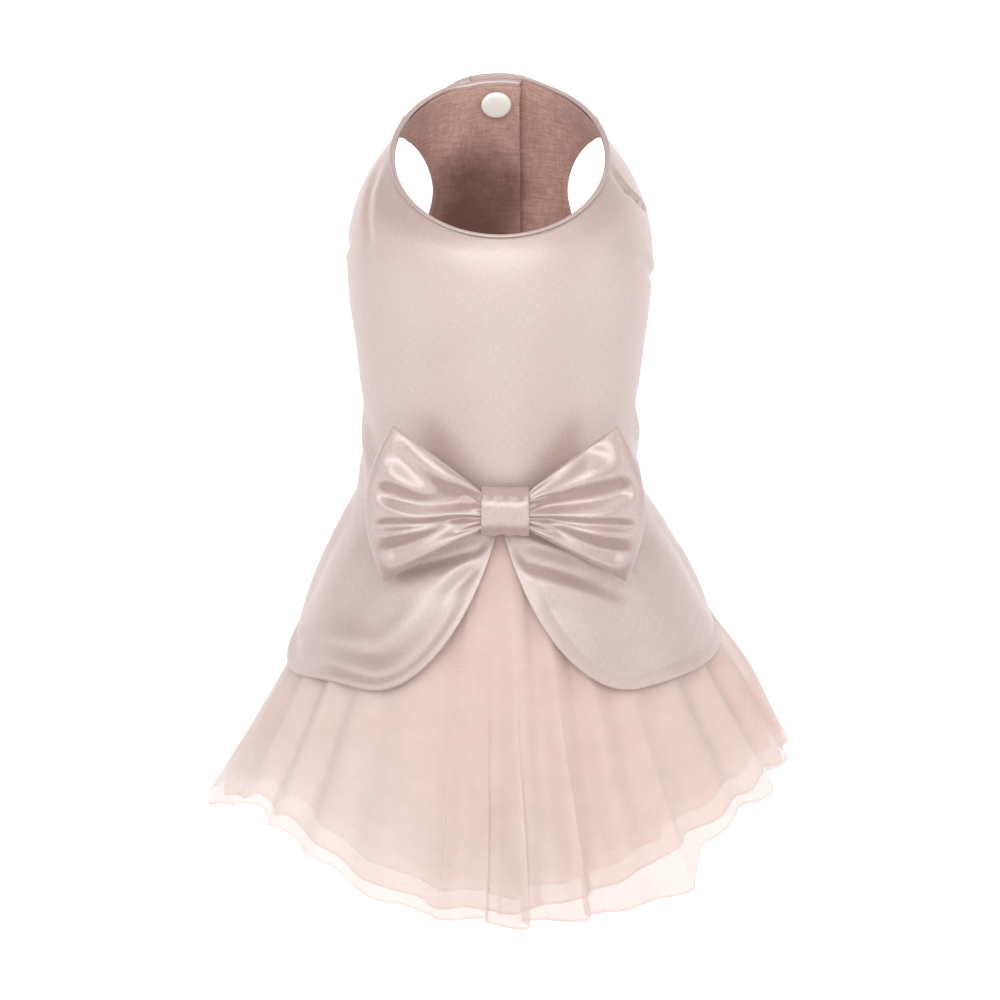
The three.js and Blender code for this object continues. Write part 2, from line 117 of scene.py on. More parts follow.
class Finish:
    """A material being built, with one Principled shader."""

    def __init__(self, name: str) -> None:
        """Make an empty material of this name."""
        self.material = bpy.data.materials.new(name)
        self.material.use_nodes = True
        self.tree = self.material.node_tree
        self.tree.nodes.clear()
        self.shader = self.node("ShaderNodeBsdfPrincipled")
        self.node("ShaderNodeOutputMaterial", {}, {"Surface": self.shader.outputs[0]})

    def node(
        self, kind: str, settings: dict[str, Any] | None = None, inputs: dict[Any, Any] | None = None
    ) -> bpy.types.Node:
        """Add a node of any kind.

        Args:
            kind: the node's type.
            settings: attributes to set first, such as a Math node's operation.
            inputs: values or links of its sockets, by name or number.

        Returns:
            The node.
        """
        made = self.tree.nodes.new(kind)
        for key, value in (settings or {}).items():
            setattr(made, key, value)
        for key, value in (inputs or {}).items():
            self.feed(made.inputs[key], value)
        return made

    def feed(self, socket: bpy.types.NodeSocket, value: Any) -> None:
        """Set a socket to a number or colour, or link it to a signal or another socket."""
        if isinstance(value, Signal):
            value = value.socket
        if isinstance(value, bpy.types.NodeSocket):
            self.tree.links.new(value, socket)
        else:
            socket.default_value = value

    def maths(self, operation: str, *values: Any) -> Signal:
        """A Math node's output, for an operation on numbers or signals."""
        made = self.node("ShaderNodeMath", {"operation": operation}, dict(enumerate(values)))
        return Signal(self, made.outputs[0])

    def blend(self, share: Any, first: Any, second: Any) -> bpy.types.NodeSocket:
        """A colour between two colours, by a share."""
        made = self.node("ShaderNodeMix", {"data_type": "RGBA"}, {0: share, 6: first, 7: second})
        return made.outputs[2]

    def parts(self, vector: bpy.types.NodeSocket) -> list[Signal]:
        """A vector's x, y and z."""
        return [Signal(self, part) for part in self.node("ShaderNodeSeparateXYZ", {}, {0: vector}).outputs]

    def eased(self, value: Signal, low: float, high: float, first: float = 0.0, last: float = 1.0) -> Signal:
        """A smooth step from a first value at low to a last one at high."""
        span = {"Value": value, "From Min": low, "From Max": high, "To Min": first, "To Max": last}
        made = self.node("ShaderNodeMapRange", {"interpolation_type": "SMOOTHSTEP"}, span)
        return Signal(self, made.outputs[0])

    def flat_place(self) -> list[Signal]:
        """The cloth's own flat coordinates in metres, across and along."""
        return self.parts(self.node("ShaderNodeUVMap", {"uv_map": "flat"}).outputs[0])[:2]

    def stretched(self, across: Signal, along: Signal, shift: float = 0.0) -> bpy.types.NodeSocket:
        """A vector of two scaled coordinates."""
        return self.node("ShaderNodeCombineXYZ", {}, {0: across, 1: along, 2: shift}).outputs[0]

    def noise(self, vector: Any, scale: float, detail: float = 2.0) -> Signal:
        """Noise from 0 to 1 at a vector."""
        grain = {"Vector": vector, "Scale": scale, "Detail": detail, "Roughness": 0.55}
        return Signal(self, self.node("ShaderNodeTexNoise", {}, grain).outputs[0])

    def object_place(self) -> bpy.types.NodeSocket:
        """Object coordinates."""
        return self.node("ShaderNodeTexCoord").outputs["Object"]

    def bump(self, height: Signal, distance: float, strength: float) -> bpy.types.NodeSocket:
        """A bumped normal."""
        relief = {"Height": height, "Distance": distance, "Strength": strength}
        return self.node("ShaderNodeBump", {}, relief).outputs[0]

    def shade(self, **inputs: Any) -> None:
        """Set the Principled shader's sockets, named with underscores for spaces."""
        for key, value in inputs.items():
            self.feed(self.shader.inputs[key.replace("_", " ")], value)


def dimmed(colour: RGBA, share: float) -> RGBA:
    """A colour at a share of its brightness."""
    return tuple(value * share for value in colour[:3]) + (1.0,)


@dataclass(frozen=True)
class Satin:
    """Blush duchess satin: floats run along the cloth, so highlights are broad and soft."""

    light: RGBA = (0.6, 0.435, 0.4, 1.0)
    deep: RGBA = (0.44, 0.3, 0.28, 1.0)
    threads_per_metre: float = 2600.0
    floats_per_metre: float = 312.0
    name: str = "satin"
    gloss_spread: float = 0.47

    def make(self) -> bpy.types.Material:
        """Build the material."""
        finish = Finish(self.name)
        across, along = finish.flat_place()
        floats = finish.stretched(across * self.threads_per_metre, along * self.floats_per_metre)
        threads = finish.noise(floats, 1.0)
        picks = finish.noise(finish.stretched(across * 300.0, along * 2200.0, 7.0), 1.0)
        coarse = finish.noise(finish.stretched(across * 620.0, along * 900.0, 3.0), 1.0)
        clouds = finish.noise(finish.object_place(), 38.0, 3.0)
        weave = threads * 0.45 + picks * 0.3 + coarse * 0.25
        tone = clouds * 0.4 + (weave - 0.5) * 2.6 + 0.3
        finish.shade(
            Base_Color=finish.blend(tone.clamped(), self.deep, self.light),
            Roughness=0.4 + weave * 0.2,
            Metallic=0.05,
            Specular_IOR_Level=0.6,
            Coat_Weight=0.95,
            Coat_Roughness=self.gloss_spread,
            Coat_IOR=2.65,
            Sheen_Weight=0.15,
            Sheen_Roughness=0.4,
            Sheen_Tint=(1.0, 0.94, 0.92, 1.0),
            Normal=finish.bump(weave, 0.0001, 0.55),
        )
        return finish.material


# The bow's satin: darker, pinker base colours as painted shade in its folds, and narrower highlights
SHADED_SATIN = Satin(
    light=(0.56, 0.385, 0.365, 1.0),
    deep=(0.37, 0.235, 0.224, 1.0),
    name="satin_shaded",
    gloss_spread=0.37,
)


@dataclass(frozen=True)
class Lining:
    """Slubbed cotton in dusty rose, with painted shade darkening it in the hollow of the chest."""

    light: RGBA = (0.62, 0.395, 0.345, 1.0)
    deep: RGBA = (0.34, 0.18, 0.145, 1.0)
    # Painted shade: a dark colour blended in over an oval low in the chest, strongest at its middle
    painted_shade_colour: RGBA = (0.12, 0.05, 0.035, 1.0)
    painted_shade_place: tuple[float, float] = (-0.010, -0.030)
    painted_shade_reach: tuple[float, float] = (0.027, 0.036)
    painted_shade_share: float = 0.86

    def make(self) -> bpy.types.Material:
        """Build the material."""
        finish = Finish("lining")
        across, along = finish.flat_place()
        warp = finish.noise(finish.stretched(across * 1500.0, along * 190.0), 1.0, 3.0)
        weft = finish.noise(finish.stretched(across * 210.0, along * 1500.0, 3.0), 1.0, 3.0)
        slubs = finish.noise(finish.stretched(across * 120.0, along * 800.0, 9.0), 1.0, 2.0)
        clouds = finish.noise(finish.object_place(), 55.0, 3.0)
        weave = warp * 0.36 + weft * 0.4 + slubs * 0.24
        tone = (weave - 0.5) * 3.0 + 0.55 + (clouds - 0.5) * 0.7
        # Painted shade: the cloth darkens towards the painted shade colour in an oval round a point on the
        # chest, most at its middle
        x, _, z = finish.parts(finish.object_place())
        aside = (x - self.painted_shade_place[0]) / self.painted_shade_reach[0]
        above = ((z - self.painted_shade_place[1]) / self.painted_shade_reach[1]).largest(-0.25)
        away = aside * aside + above * above
        depth = finish.eased(away + (clouds - 0.5) * 0.9, 1.0, 0.0, 0.0, self.painted_shade_share)
        worn = finish.blend(tone.clamped(), self.deep, self.light)
        finish.shade(
            Base_Color=finish.blend(depth, worn, self.painted_shade_colour),
            Roughness=0.92 - weave * 0.1,
            Specular_IOR_Level=0.25,
            Sheen_Weight=0.25,
            Normal=finish.bump(weave, 0.00022, 0.8),
        )
        return finish.material


@dataclass(frozen=True)
class Net:
    """Fine tulle: thread, and the holes between its threads, as alpha; its colour is paler towards negative x
    and towards the hem, as painted light.
    """

    name: str
    colour: RGBA
    cover: float
    pitch: float = 0.0011
    thread: float = 0.17
    hem: float = 0.0009
    slope: float = 0.6
    paleness: float = 0.32

    def make(self) -> bpy.types.Material:
        """Build the material."""
        finish = Finish(self.name)
        across, along = finish.flat_place()
        turns = math.pi / self.pitch
        rising, falling = (
            finish.maths("ABSOLUTE", finish.maths("SINE", place * turns)).below(self.thread)
            for place in (across + along * self.slope, across - along * self.slope)
        )
        threads = rising.largest(falling)
        clouds = finish.noise(finish.object_place(), 60.0, 3.0)
        cover = self.cover * (0.8 + clouds * 0.4)
        hem = along.below(self.hem)
        alpha = cover + threads * (0.9 - cover) * 0.35 + hem * 0.34
        # Tone: random, plus a painted gradient of light: paler towards the hem and towards negative x, darker
        # up towards the waist
        side = finish.parts(finish.object_place())[0]
        tone = finish.noise(finish.object_place(), 26.0, 2.0) * 1.3
        tone = tone + 0.2 - side * 2.6 - along * 5.2
        pale = tuple(mix(value, 1.0, self.paleness) for value in self.colour)
        finish.shade(
            Base_Color=finish.blend(tone.clamped(), self.colour, pale),
            Roughness=0.85,
            Specular_IOR_Level=0.2,
            Sheen_Weight=0.4,
            Sheen_Roughness=0.5,
            Alpha=alpha,
        )
        return finish.material


@dataclass(frozen=True)
class Plastic:
    """Glossy off-white moulded plastic of the snap caps."""

    colour: RGBA = (0.93, 0.90, 0.86, 1.0)

    def make(self) -> bpy.types.Material:
        """Build the material."""
        finish = Finish("snap_plastic")
        flow = finish.noise(finish.object_place(), 260.0, 3.0)
        finish.shade(
            Base_Color=finish.blend(flow, dimmed(self.colour, 0.95), self.colour),
            Roughness=0.2 + flow * 0.1,
            Specular_IOR_Level=0.5,
            Coat_Weight=0.3,
            Coat_Roughness=0.08,
            Normal=finish.bump(flow, 0.00005, 0.25),
        )
        return finish.material


@dataclass(frozen=True)
class Thread:
    """Twisted sewing thread."""

    name: str
    colour: RGBA

    def make(self) -> bpy.types.Material:
        """Build the material."""
        finish = Finish(self.name)
        twist = finish.noise(finish.object_place(), 2600.0, 1.0)
        finish.shade(
            Base_Color=finish.blend(twist, dimmed(self.colour, 0.72), self.colour),
            Roughness=0.6,
            Sheen_Weight=0.3,
            Normal=finish.bump(twist, 0.00008, 0.6),
        )
        return finish.material


@dataclass(frozen=True)
class Studio:
    """Pale backdrop paper, evenly lit from behind, but for a patch of painted shade in front of the dress:
    darker paper there, with no glow.
    """

    colour: RGBA = (0.9, 0.9, 0.9, 1.0)
    # The colour of the patch of painted shade
    under: RGBA = (0.32, 0.305, 0.295, 1.0)
    glow: float = 0.75
    near_glow: float = 0.6
    glow_grows: tuple[float, float] = (0.35, 1.9)
    patch_y: float = -0.3
    patch_slimness: float = 0.6
    patch_edge: tuple[float, float] = (0.2, 0.42)

    def make(self) -> bpy.types.Material:
        """Build the material."""
        finish = Finish("backdrop")
        grain = finish.noise(finish.object_place(), 900.0, 1.0)
        aside, depth, _ = finish.parts(finish.object_place())
        # The patch of painted shade in front of the dress: a mask, 0 inside it and 1 outside
        wide = finish.maths("ABSOLUTE", aside) * self.patch_slimness
        away = finish.maths("ABSOLUTE", depth - self.patch_y).largest(wide)
        behind = finish.eased(away, *self.patch_edge)
        paper = finish.blend(grain, dimmed(self.colour, 0.995), self.colour)
        far = finish.eased(depth, *self.glow_grows, self.near_glow, 1.0)
        ahead = depth.below(self.patch_y) * (1.0 - self.near_glow)
        lit = (far + ahead) * behind
        finish.shade(
            Base_Color=finish.blend(behind, self.under, paper),
            Roughness=0.9,
            Specular_IOR_Level=0.1,
            Emission_Color=finish.blend(lit, (0.0, 0.0, 0.0, 1.0), (1.0, 1.0, 1.0, 1.0)),
            Emission_Strength=self.glow,
        )
        return finish.material


# Sheets of cloth


def unit(vectors: np.ndarray) -> np.ndarray:
    """Vectors of length 1."""
    return vectors / np.maximum(np.linalg.norm(vectors, axis=-1, keepdims=True), 1e-9)


def grid_normals(points: np.ndarray) -> np.ndarray:
    """Unit normals of a grid of points, by differences along its rows and columns."""
    across = np.gradient(points, axis=1)
    along = np.gradient(points, axis=0)
    return unit(np.cross(across, along))


def band_normals(points: np.ndarray) -> np.ndarray:
    """Unit normals of a grid whose last column lies on its first."""
    closed = np.concatenate([points[:, -2:-1], points, points[:, 1:2]], axis=1)
    return grid_normals(closed)[:, 1:-1]


def smooth(value: np.ndarray | float, low: float, high: float) -> np.ndarray:
    """A smooth step from 0 at low to 1 at high."""
    t = np.clip((np.asarray(value, float) - low) / (high - low), 0.0, 1.0)
    return t * t * (3.0 - 2.0 * t)


def mix(low: Any, high: Any, share: Any) -> Any:
    """The value between two values."""
    return low + (high - low) * share


def ripple(place: np.ndarray, size: float, seed: float) -> np.ndarray:
    """Soft uneven waves over a surface, from about -1 to 1.

    Args:
        place: points in mm, with two or three coordinates.
        size: the usual distance between crests in mm.
        seed: a number that changes the pattern.

    Returns:
        The waves' height at each point.
    """
    total = np.zeros(place.shape[:-1])
    for k in range(7):
        turn = 2.4 * k + seed
        rate = 2 * math.pi / size * (0.62 + 0.17 * k)
        direction = np.array([math.cos(turn), math.sin(turn), math.cos(1.7 * turn)])[: place.shape[-1]]
        total += np.sin(place @ direction * rate + 1.9 * turn) / (1.0 + 0.35 * k)
    return total / 2.6


def rolled(distance: np.ndarray, radius: float) -> np.ndarray:
    """How far a rounded edge has dropped at a distance from it: the radius at the edge itself."""
    rest = radius - np.minimum(distance, radius)
    return radius - np.sqrt(np.maximum(radius**2 - rest**2, 0.0))


def distance_to(points: np.ndarray, border: np.ndarray) -> np.ndarray:
    """Each point's distance to the nearest border point."""
    flat = points.reshape(-1, 3)
    nearest = np.full(len(flat), np.inf)
    for start in range(0, len(border), 64):
        away = flat[:, None, :] - border[None, start : start + 64, :]
        nearest = np.minimum(nearest, np.sqrt((away**2).sum(-1)).min(1))
    return nearest.reshape(points.shape[:-1])


def lengths_along(path: np.ndarray) -> np.ndarray:
    """The distance travelled along a path at each of its points."""
    return np.concatenate([[0.0], np.cumsum(np.linalg.norm(np.diff(path, axis=0), axis=1))])


def as_object(work: bmesh.types.BMesh, name: str, material: bpy.types.Material) -> bpy.types.Object:
    """Turn a finished bmesh into a smooth dressed object that stands at the origin."""
    for face in work.faces:
        face.smooth = True
    mesh = bpy.data.meshes.new(name)
    work.to_mesh(mesh)
    work.free()
    mesh.materials.append(material)
    made = bpy.data.objects.new(name, mesh)
    bpy.context.scene.collection.objects.link(made)
    return made


def close_to_edges(span: float, count: int, start: bool = True, end: bool = True) -> np.ndarray:
    """Shares from 0 to 1 that crowd together near the edges of a strip of cloth.

    Args:
        span: the strip's width in mm.
        count: how many even steps its middle has.
        start: whether its first edge is crowded.
        end: whether its last edge is crowded.

    Returns:
        The shares, in order.
    """
    near = np.array([0.0, 0.12, 0.28, 0.5, 0.8, 1.3, 2.0, 3.0]) / span
    first = near if start else near[:1]
    last = 1.0 - (near if end else near[:1])[::-1]
    middle = np.linspace(first[-1], last[0], count + 2)[1:-1]
    return np.concatenate([first, middle, last])


@dataclass(frozen=True)
class Crease:
    """A soft trough (or a ridge, where deep is negative) placed on a sheet, in its flat mm."""

    x0: float
    y0: float
    x1: float
    y1: float
    deep: float
    wide: float
    bow: float = 0.0

    def depth(self, flat: np.ndarray) -> np.ndarray:
        """How deep it is at each flat place in mm, with a low ridge beside it."""
        start = np.array([self.x0, self.y0])
        line = np.array([self.x1, self.y1]) - start
        length = float(np.hypot(*line))
        along_unit = line / length
        side_unit = np.array([-along_unit[1], along_unit[0]])
        along = (flat - start) @ along_unit / length
        held = np.clip(along, 0.0, 1.0)
        side = (flat - start) @ side_unit - self.bow * np.sin(math.pi * held)
        past = (along - held) * length
        away = np.hypot(side, past) / self.wide
        shoulder = np.hypot(side - 1.7 * self.wide, past) / self.wide
        fade = np.sin(math.pi * (0.1 + 0.8 * held)) ** 0.8
        return self.deep * fade * (np.exp(-(away**2)) - 0.45 * np.exp(-(shoulder**2)))


def all_creases(creases: Sequence[Crease], flat: np.ndarray) -> np.ndarray:
    """The summed depth of many creases at each flat place in mm."""
    total = np.zeros(flat.shape[:-1])
    for crease in creases:
        total += crease.depth(flat)
    return total


class ClothMesh:
    """A cloth object under construction: grids of points in mm become one bmesh in metres."""

    def __init__(self, name: str) -> None:
        """Start an empty mesh for a piece of this name."""
        self.name = name
        self.work = bmesh.new()
        self.flat_layer = self.work.loops.layers.uv.new("flat")

    def add_grid(self, points: np.ndarray, flat: np.ndarray, turned: bool = False) -> None:
        """Add a grid of cloth.

        Args:
            points: rows by columns by 3, in mm.
            flat: rows by columns by 2, the same points' place on the flat cloth in mm.
            turned: whether the grid faces the other way.
        """
        rows, columns = points.shape[:2]
        made = bmesh.ops.create_grid(self.work, x_segments=columns - 1, y_segments=rows - 1, size=1.0)
        places: dict[bmesh.types.BMVert, tuple[int, int]] = {}
        for vert in made["verts"]:
            row = round((vert.co.y + 1) / 2 * (rows - 1))
            column = round((vert.co.x + 1) / 2 * (columns - 1))
            places[vert] = (row, column)
            vert.co = Vector(points[row, column]) * MM
        faces = {face for vert in made["verts"] for face in vert.link_faces}
        for face in faces:
            for loop in face.loops:
                loop[self.flat_layer].uv = flat[places[loop.vert]] * MM
        if turned:
            bmesh.ops.reverse_faces(self.work, faces=list(faces))

    def finish(
        self, material: bpy.types.Material, thickness: float = 0.0, merge: float = 0.0
    ) -> bpy.types.Object:
        """Turn the bmesh into a dressed object.

        Args:
            material: its finish.
            thickness: mm of cloth added behind its faces, or 0 for a single surface.
            merge: mm within which doubled points are joined, or 0.

        Returns:
            The object, standing at the origin.
        """
        if merge:
            bmesh.ops.remove_doubles(self.work, verts=self.work.verts, dist=merge * MM)
            bmesh.ops.dissolve_degenerate(self.work, edges=self.work.edges, dist=1e-7)
        made = as_object(self.work, self.name, material)
        if thickness:
            solid = made.modifiers.new("thickness", "SOLIDIFY")
            solid.thickness = thickness * MM
            solid.offset = -1.0
        return made


class StitchRun:
    """Rows of small stitches, joined in one mesh."""

    def __init__(self, name: str, length: float = 1.7, pitch: float = 2.5, radius: float = 0.16) -> None:
        """Start an empty run.

        Args:
            name: the piece's name.
            length: a stitch's length in mm.
            pitch: the distance from one stitch to the next in mm.
            radius: the thread's radius in mm.
        """
        self.name = name
        self.length = length
        self.pitch = pitch
        self.radius = radius
        self.work = bmesh.new()

    def sew(self, path: np.ndarray) -> None:
        """Sew along a path of points in mm."""
        travelled = lengths_along(path)
        count = int((travelled[-1] - self.length) / self.pitch)
        for k in range(count):
            begin = self.pitch * (k + 0.3)
            ends = [
                Vector([float(np.interp(begin + extra, travelled, path[:, axis])) for axis in range(3)])
                for extra in (0.0, self.length)
            ]
            direction = (ends[1] - ends[0]).normalized()
            middle = (ends[0] + ends[1]) / 2 * MM
            turn = direction.to_track_quat("Z", "Y").to_matrix().to_4x4()
            bmesh.ops.create_cone(
                self.work,
                cap_ends=True,
                segments=6,
                radius1=self.radius * 0.75 * MM,
                radius2=self.radius * MM,
                depth=self.length * MM,
                matrix=Matrix.Translation(middle) @ turn,
            )

    def finish(self, material: bpy.types.Material) -> bpy.types.Object:
        """The dressed object."""
        return as_object(self.work, self.name, material)


# The bodice


@dataclass(frozen=True)
class Section:
    """An ellipse round the trunk, between a point over the spine and one on the breastbone, in mm."""

    up: float
    half_width: float
    back_y: float
    back_z: float
    chest_y: float
    chest_z: float


SECTIONS = (
    Section(0.0, 59.0, -48.0, -137.0, 48.0, -137.0),
    Section(0.1, 57.0, -47.2, -124.0, 47.5, -123.0),
    Section(0.22, 55.6, -46.8, -108.0, 48.0, -106.0),
    Section(0.42, 58.4, -48.0, -81.0, 50.5, -77.0),
    Section(0.58, 61.2, -49.2, -60.0, 53.0, -52.0),
    Section(0.7, 61.8, -49.6, -46.0, 53.5, -32.0),
    Section(0.8, 60.0, -49.2, -38.0, 52.0, -12.5),
    Section(0.9, 54.2, -47.4, -30.5, 48.0, 7.5),
    Section(1.0, 42.4, -43.6, -24.0, 42.0, 26.0),
)


@dataclass(frozen=True)
class NeckEdge:
    """How the satin turns in at the neck: its edge's radius and how far it reaches inside, in mm."""

    radius: float
    turn_in: float


class Side(Enum):
    """Which half of the chest a flap belongs to."""

    INNER = "left"
    OUTER = "right"


@dataclass
class Trunk:
    """The surface that the bodice is cut for."""

    sections: Sequence[Section] = SECTIONS

    def read(self, column: str, up: np.ndarray) -> np.ndarray:
        """A column of the sections at places up the bodice, through a smooth curve."""
        places = np.array([section.up for section in self.sections])
        values = np.array([getattr(section, column) for section in self.sections])
        before = np.maximum(np.arange(len(places)) - 1, 0)
        after = np.minimum(np.arange(len(places)) + 1, len(places) - 1)
        slopes = (values[after] - values[before]) / (places[after] - places[before])
        k = np.clip(np.searchsorted(places, up, side="right") - 1, 0, len(places) - 2)
        span = places[k + 1] - places[k]
        t = (up - places[k]) / span
        rise = values[k + 1] - values[k]
        first, last = slopes[k] * span, slopes[k + 1] * span
        return values[k] + first * t + (3 * rise - 2 * first - last) * t**2 + (first + last - 2 * rise) * t**3

    def points(self, angle: np.ndarray, up: np.ndarray) -> np.ndarray:
        """Points of the surface in mm, at angles in degrees round it from the spine."""
        turn = np.radians(angle)
        towards_chest = (1.0 - np.cos(turn)) / 2.0
        return np.stack(
            [
                self.read("half_width", up) * np.sin(turn),
                mix(self.read("back_y", up), self.read("chest_y", up), towards_chest),
                mix(self.read("back_z", up), self.read("chest_z", up), towards_chest),
            ],
            axis=-1,
        )

    def rise(self, angle: np.ndarray) -> np.ndarray:
        """The mm that the surface climbs for one whole step of up, at the neck."""
        ones = np.ones_like(angle)
        step = 0.02
        lower, upper = self.points(angle, ones * (1 - step)), self.points(angle, ones)
        return np.linalg.norm(upper - lower, axis=-1) / step


@dataclass
class Bodice:
    """The back and the two chest halves, in satin, with their slubbed lining."""

    trunk: Trunk = field(default_factory=Trunk)
    side_seam: float = 120.0
    shoulder_seam: float = 118.0
    armhole_up: float = 0.768
    armhole_half_up: float = 0.178
    armhole_bottom: float = 124.0
    towards_back: float = 18.0
    towards_chest: float = 31.0
    bottom_roundness: float = 0.5
    top_roundness: float = 0.75
    seam_half_angle: float = 0.12
    armhole_stitch_inset: float = 2.3
    flap_stitch_inset: float = 3.0
    hem_stitch_up: float = 0.045
    wall: float = 1.7
    cloth: float = 0.3
    back_neck: NeckEdge = NeckEdge(0.5, 0.9)
    chest_neck: NeckEdge = NeckEdge(0.5, 2.3)
    seam_roll: float = 0.45
    outer_reach: float = 12.0
    inner_reach: float = 9.0
    flap_step: float = 3.0
    flap_rise: float = 1.7
    gape: float = 1.5
    sunk_foot: float = 0.9
    waist_z: float = -137.0
    flat_girth: float = 58.0
    flat_height: float = 150.0

    def foot(self) -> float:
        """The armhole's lowest place up the bodice."""
        return self.armhole_up - self.armhole_half_up

    def head(self) -> float:
        """The armhole's highest place up the bodice."""
        return self.armhole_up + self.armhole_half_up

    def edges(self, up: np.ndarray) -> tuple[np.ndarray, np.ndarray]:
        """The angles of the back's and the chest's edges at places up the bodice."""
        share = np.clip((up - self.foot()) / (2 * self.armhole_half_up), 0.0, 1.0)
        roundness = mix(self.bottom_roundness, self.top_roundness, share)
        opened = np.where((share > 0) & (share < 1), np.abs(np.sin(math.pi * share)) ** roundness, 0.0)
        below = mix(self.side_seam, self.armhole_bottom, np.clip(up / self.foot(), 0.0, 1.0))
        middle = np.where(up < self.foot(), below, mix(self.armhole_bottom, self.shoulder_seam, share))
        gap = self.seam_half_angle
        return (
            middle - self.towards_back * opened - gap,
            middle + self.towards_chest * opened + gap,
        )

    def beside_armhole(self, turn: np.ndarray) -> np.ndarray:
        """Places up the bodice at turns round the armhole, from 0 at its foot to pi at its head."""
        return self.armhole_up - self.armhole_half_up * np.cos(turn)

    def main_rows(self) -> np.ndarray:
        """Places up the bodice of a panel's rows, dense where the armhole's edge turns."""
        low = close_to_edges(90.0, 26, end=False) * self.foot()
        armhole = self.beside_armhole(np.linspace(0.0, math.pi, 62))
        high = np.linspace(self.head(), 1.0, 12)
        return np.concatenate([low[:-1], armhole, high[1:]])

    def wall_at(self, distance: Any, edge: NeckEdge) -> Any:
        """The wall's thickness at a distance from the neck, where it thins to its edge."""
        return mix(2 * edge.radius, self.wall, smooth(distance, 0.0, 9.0))

    def neck_rows(self, satin: bool, edge: NeckEdge) -> list[tuple[float, float]]:
        """The extra rows at the neck, each its distance from the edge and its depth, in mm.

        Args:
            satin: whether the cloth is the satin, which rolls over the edge and lies on the lining.
            edge: how the satin turns in there.

        Returns:
            The rows, from the panel upwards and over.
        """
        radius, end = edge.radius, edge.turn_in
        if not satin:
            return [(d, self.wall_at(d, edge)) for d in (end * 0.9, end * 0.6)]
        turns = np.linspace(0.0, math.pi, 11)
        over = [(radius * (1 - math.sin(t)), radius * (1 - math.cos(t))) for t in turns]
        reach = np.linspace(radius + 0.2, end, 5)
        inside = [(d, self.wall_at(d, edge) + 0.3) for d in reach]
        return over + inside + [(end + 0.15, self.wall_at(end, edge) + 0.05)]

    def panel(
        self,
        left: Callable[[np.ndarray], np.ndarray],
        right: Callable[[np.ndarray], np.ndarray],
        shares: np.ndarray,
        satin: bool,
        edge: NeckEdge,
    ) -> tuple[np.ndarray, np.ndarray, np.ndarray]:
        """The grid of a panel.

        Args:
            left: the angle of its first edge at each place up.
            right: the angle of its last edge at each place up.
            shares: the columns, from 0 at the first edge to 1 at the last.
            satin: whether the cloth is the satin or the lining.
            edge: how the satin turns in at the neck.

        Returns:
            The angle, the place up and the depth of each grid point.
        """
        rows = self.main_rows()
        extra = self.neck_rows(satin, edge)
        angle = mix(left(rows)[:, None], right(rows)[:, None], shares[None, :])
        top_angle = angle[-1]
        climb = self.trunk.rise(top_angle)
        up = np.repeat(rows[:, None], len(shares), axis=1)
        reach = 1.0 - extra[0][0] / climb
        above = rows[:, None] > self.head()
        up = np.where(above, mix(self.head(), reach[None, :], (up - self.head()) / (1 - self.head())), up)
        depth = 0.0 * up if satin else self.wall_at((1.0 - up) * climb, edge)
        up = np.concatenate([up[:-1]] + [(1.0 - d / climb)[None, :] for d, _ in extra])
        angle = np.concatenate([angle[:-1]] + [top_angle[None, :] for _ in extra])
        depth = np.concatenate([depth[:-1]] + [np.full((1, len(shares)), deep) for _, deep in extra])
        return angle, up, depth

    def flat(self, angle: np.ndarray, up: np.ndarray) -> np.ndarray:
        """A panel point's place on the flat cloth, in mm."""
        return np.stack([np.radians(angle) * self.flat_girth, up * self.flat_height], axis=-1)

    def border(self, up: np.ndarray, of_back: bool) -> np.ndarray:
        """Points along both sides' edges at places up the bodice, of the back or of the chest."""
        angle = self.edges(up)[0 if of_back else 1]
        return np.concatenate([self.trunk.points(angle, up), self.trunk.points(-angle, up)])

    def lay(
        self,
        angle: np.ndarray,
        up: np.ndarray,
        depth: np.ndarray,
        satin: bool,
        of_back: bool,
        creases: Sequence[Crease],
        seed: float,
    ) -> tuple[np.ndarray, np.ndarray]:
        """Points of a panel with its rolled edges, creases and soft waves.

        Args:
            angle: each point's angle round the trunk.
            up: each point's place up the bodice.
            depth: each point's depth under the trunk's surface in mm.
            satin: whether the cloth is the satin or the lining.
            of_back: whether the panel is the back's.
            creases: its creases.
            seed: a number that changes its soft waves.

        Returns:
            The points in mm, and their places on the flat cloth in mm.
        """
        base = self.trunk.points(angle, up)
        normals = grid_normals(self.trunk.points(angle, np.minimum(up, 0.9995)))
        open_edge = self.beside_armhole(np.linspace(0.0, math.pi, 300))
        sewn_edge = np.concatenate([np.linspace(0, self.foot(), 120), np.linspace(self.head(), 1.0, 60)])
        free = distance_to(base, self.border(open_edge, of_back))
        seam = distance_to(base, self.border(sewn_edge, of_back))
        roll = rolled(free, self.wall / 2)
        seam_drop = rolled(seam, self.seam_roll)
        flat = self.flat(angle, up)
        calm = smooth(free, 0.0, 7.0) * smooth(seam, 0.0, 5.0) * smooth(1.0 - up, 0.0, 0.05)
        waves = 0.22 * ripple(base, 34.0, seed) + 0.07 * ripple(base, 13.0, seed + 3)
        press = all_creases(creases, flat) - waves
        under = depth + (roll if satin else -roll) + (seam_drop if satin else 0.0)
        under = under + press * calm * (1.0 if satin else 0.6)
        return base - normals * under[..., None], flat

    def back(self, satin: bool) -> tuple[np.ndarray, np.ndarray]:
        """The back panel's or its lining's grid."""
        shares = close_to_edges(250.0, 110)
        angle, up, depth = self.panel(
            lambda u: -self.edges(u)[0], lambda u: self.edges(u)[0], shares, satin, self.back_neck
        )
        return self.lay(angle, up, depth, satin, True, BACK_CREASES, 1.3)

    def flap_edge(self, up: np.ndarray, reach: float) -> np.ndarray:
        """The angle of a flap's free edge, past the middle of the chest by a distance."""
        return 180.0 + np.degrees(np.arcsin(reach / self.trunk.read("half_width", up)))

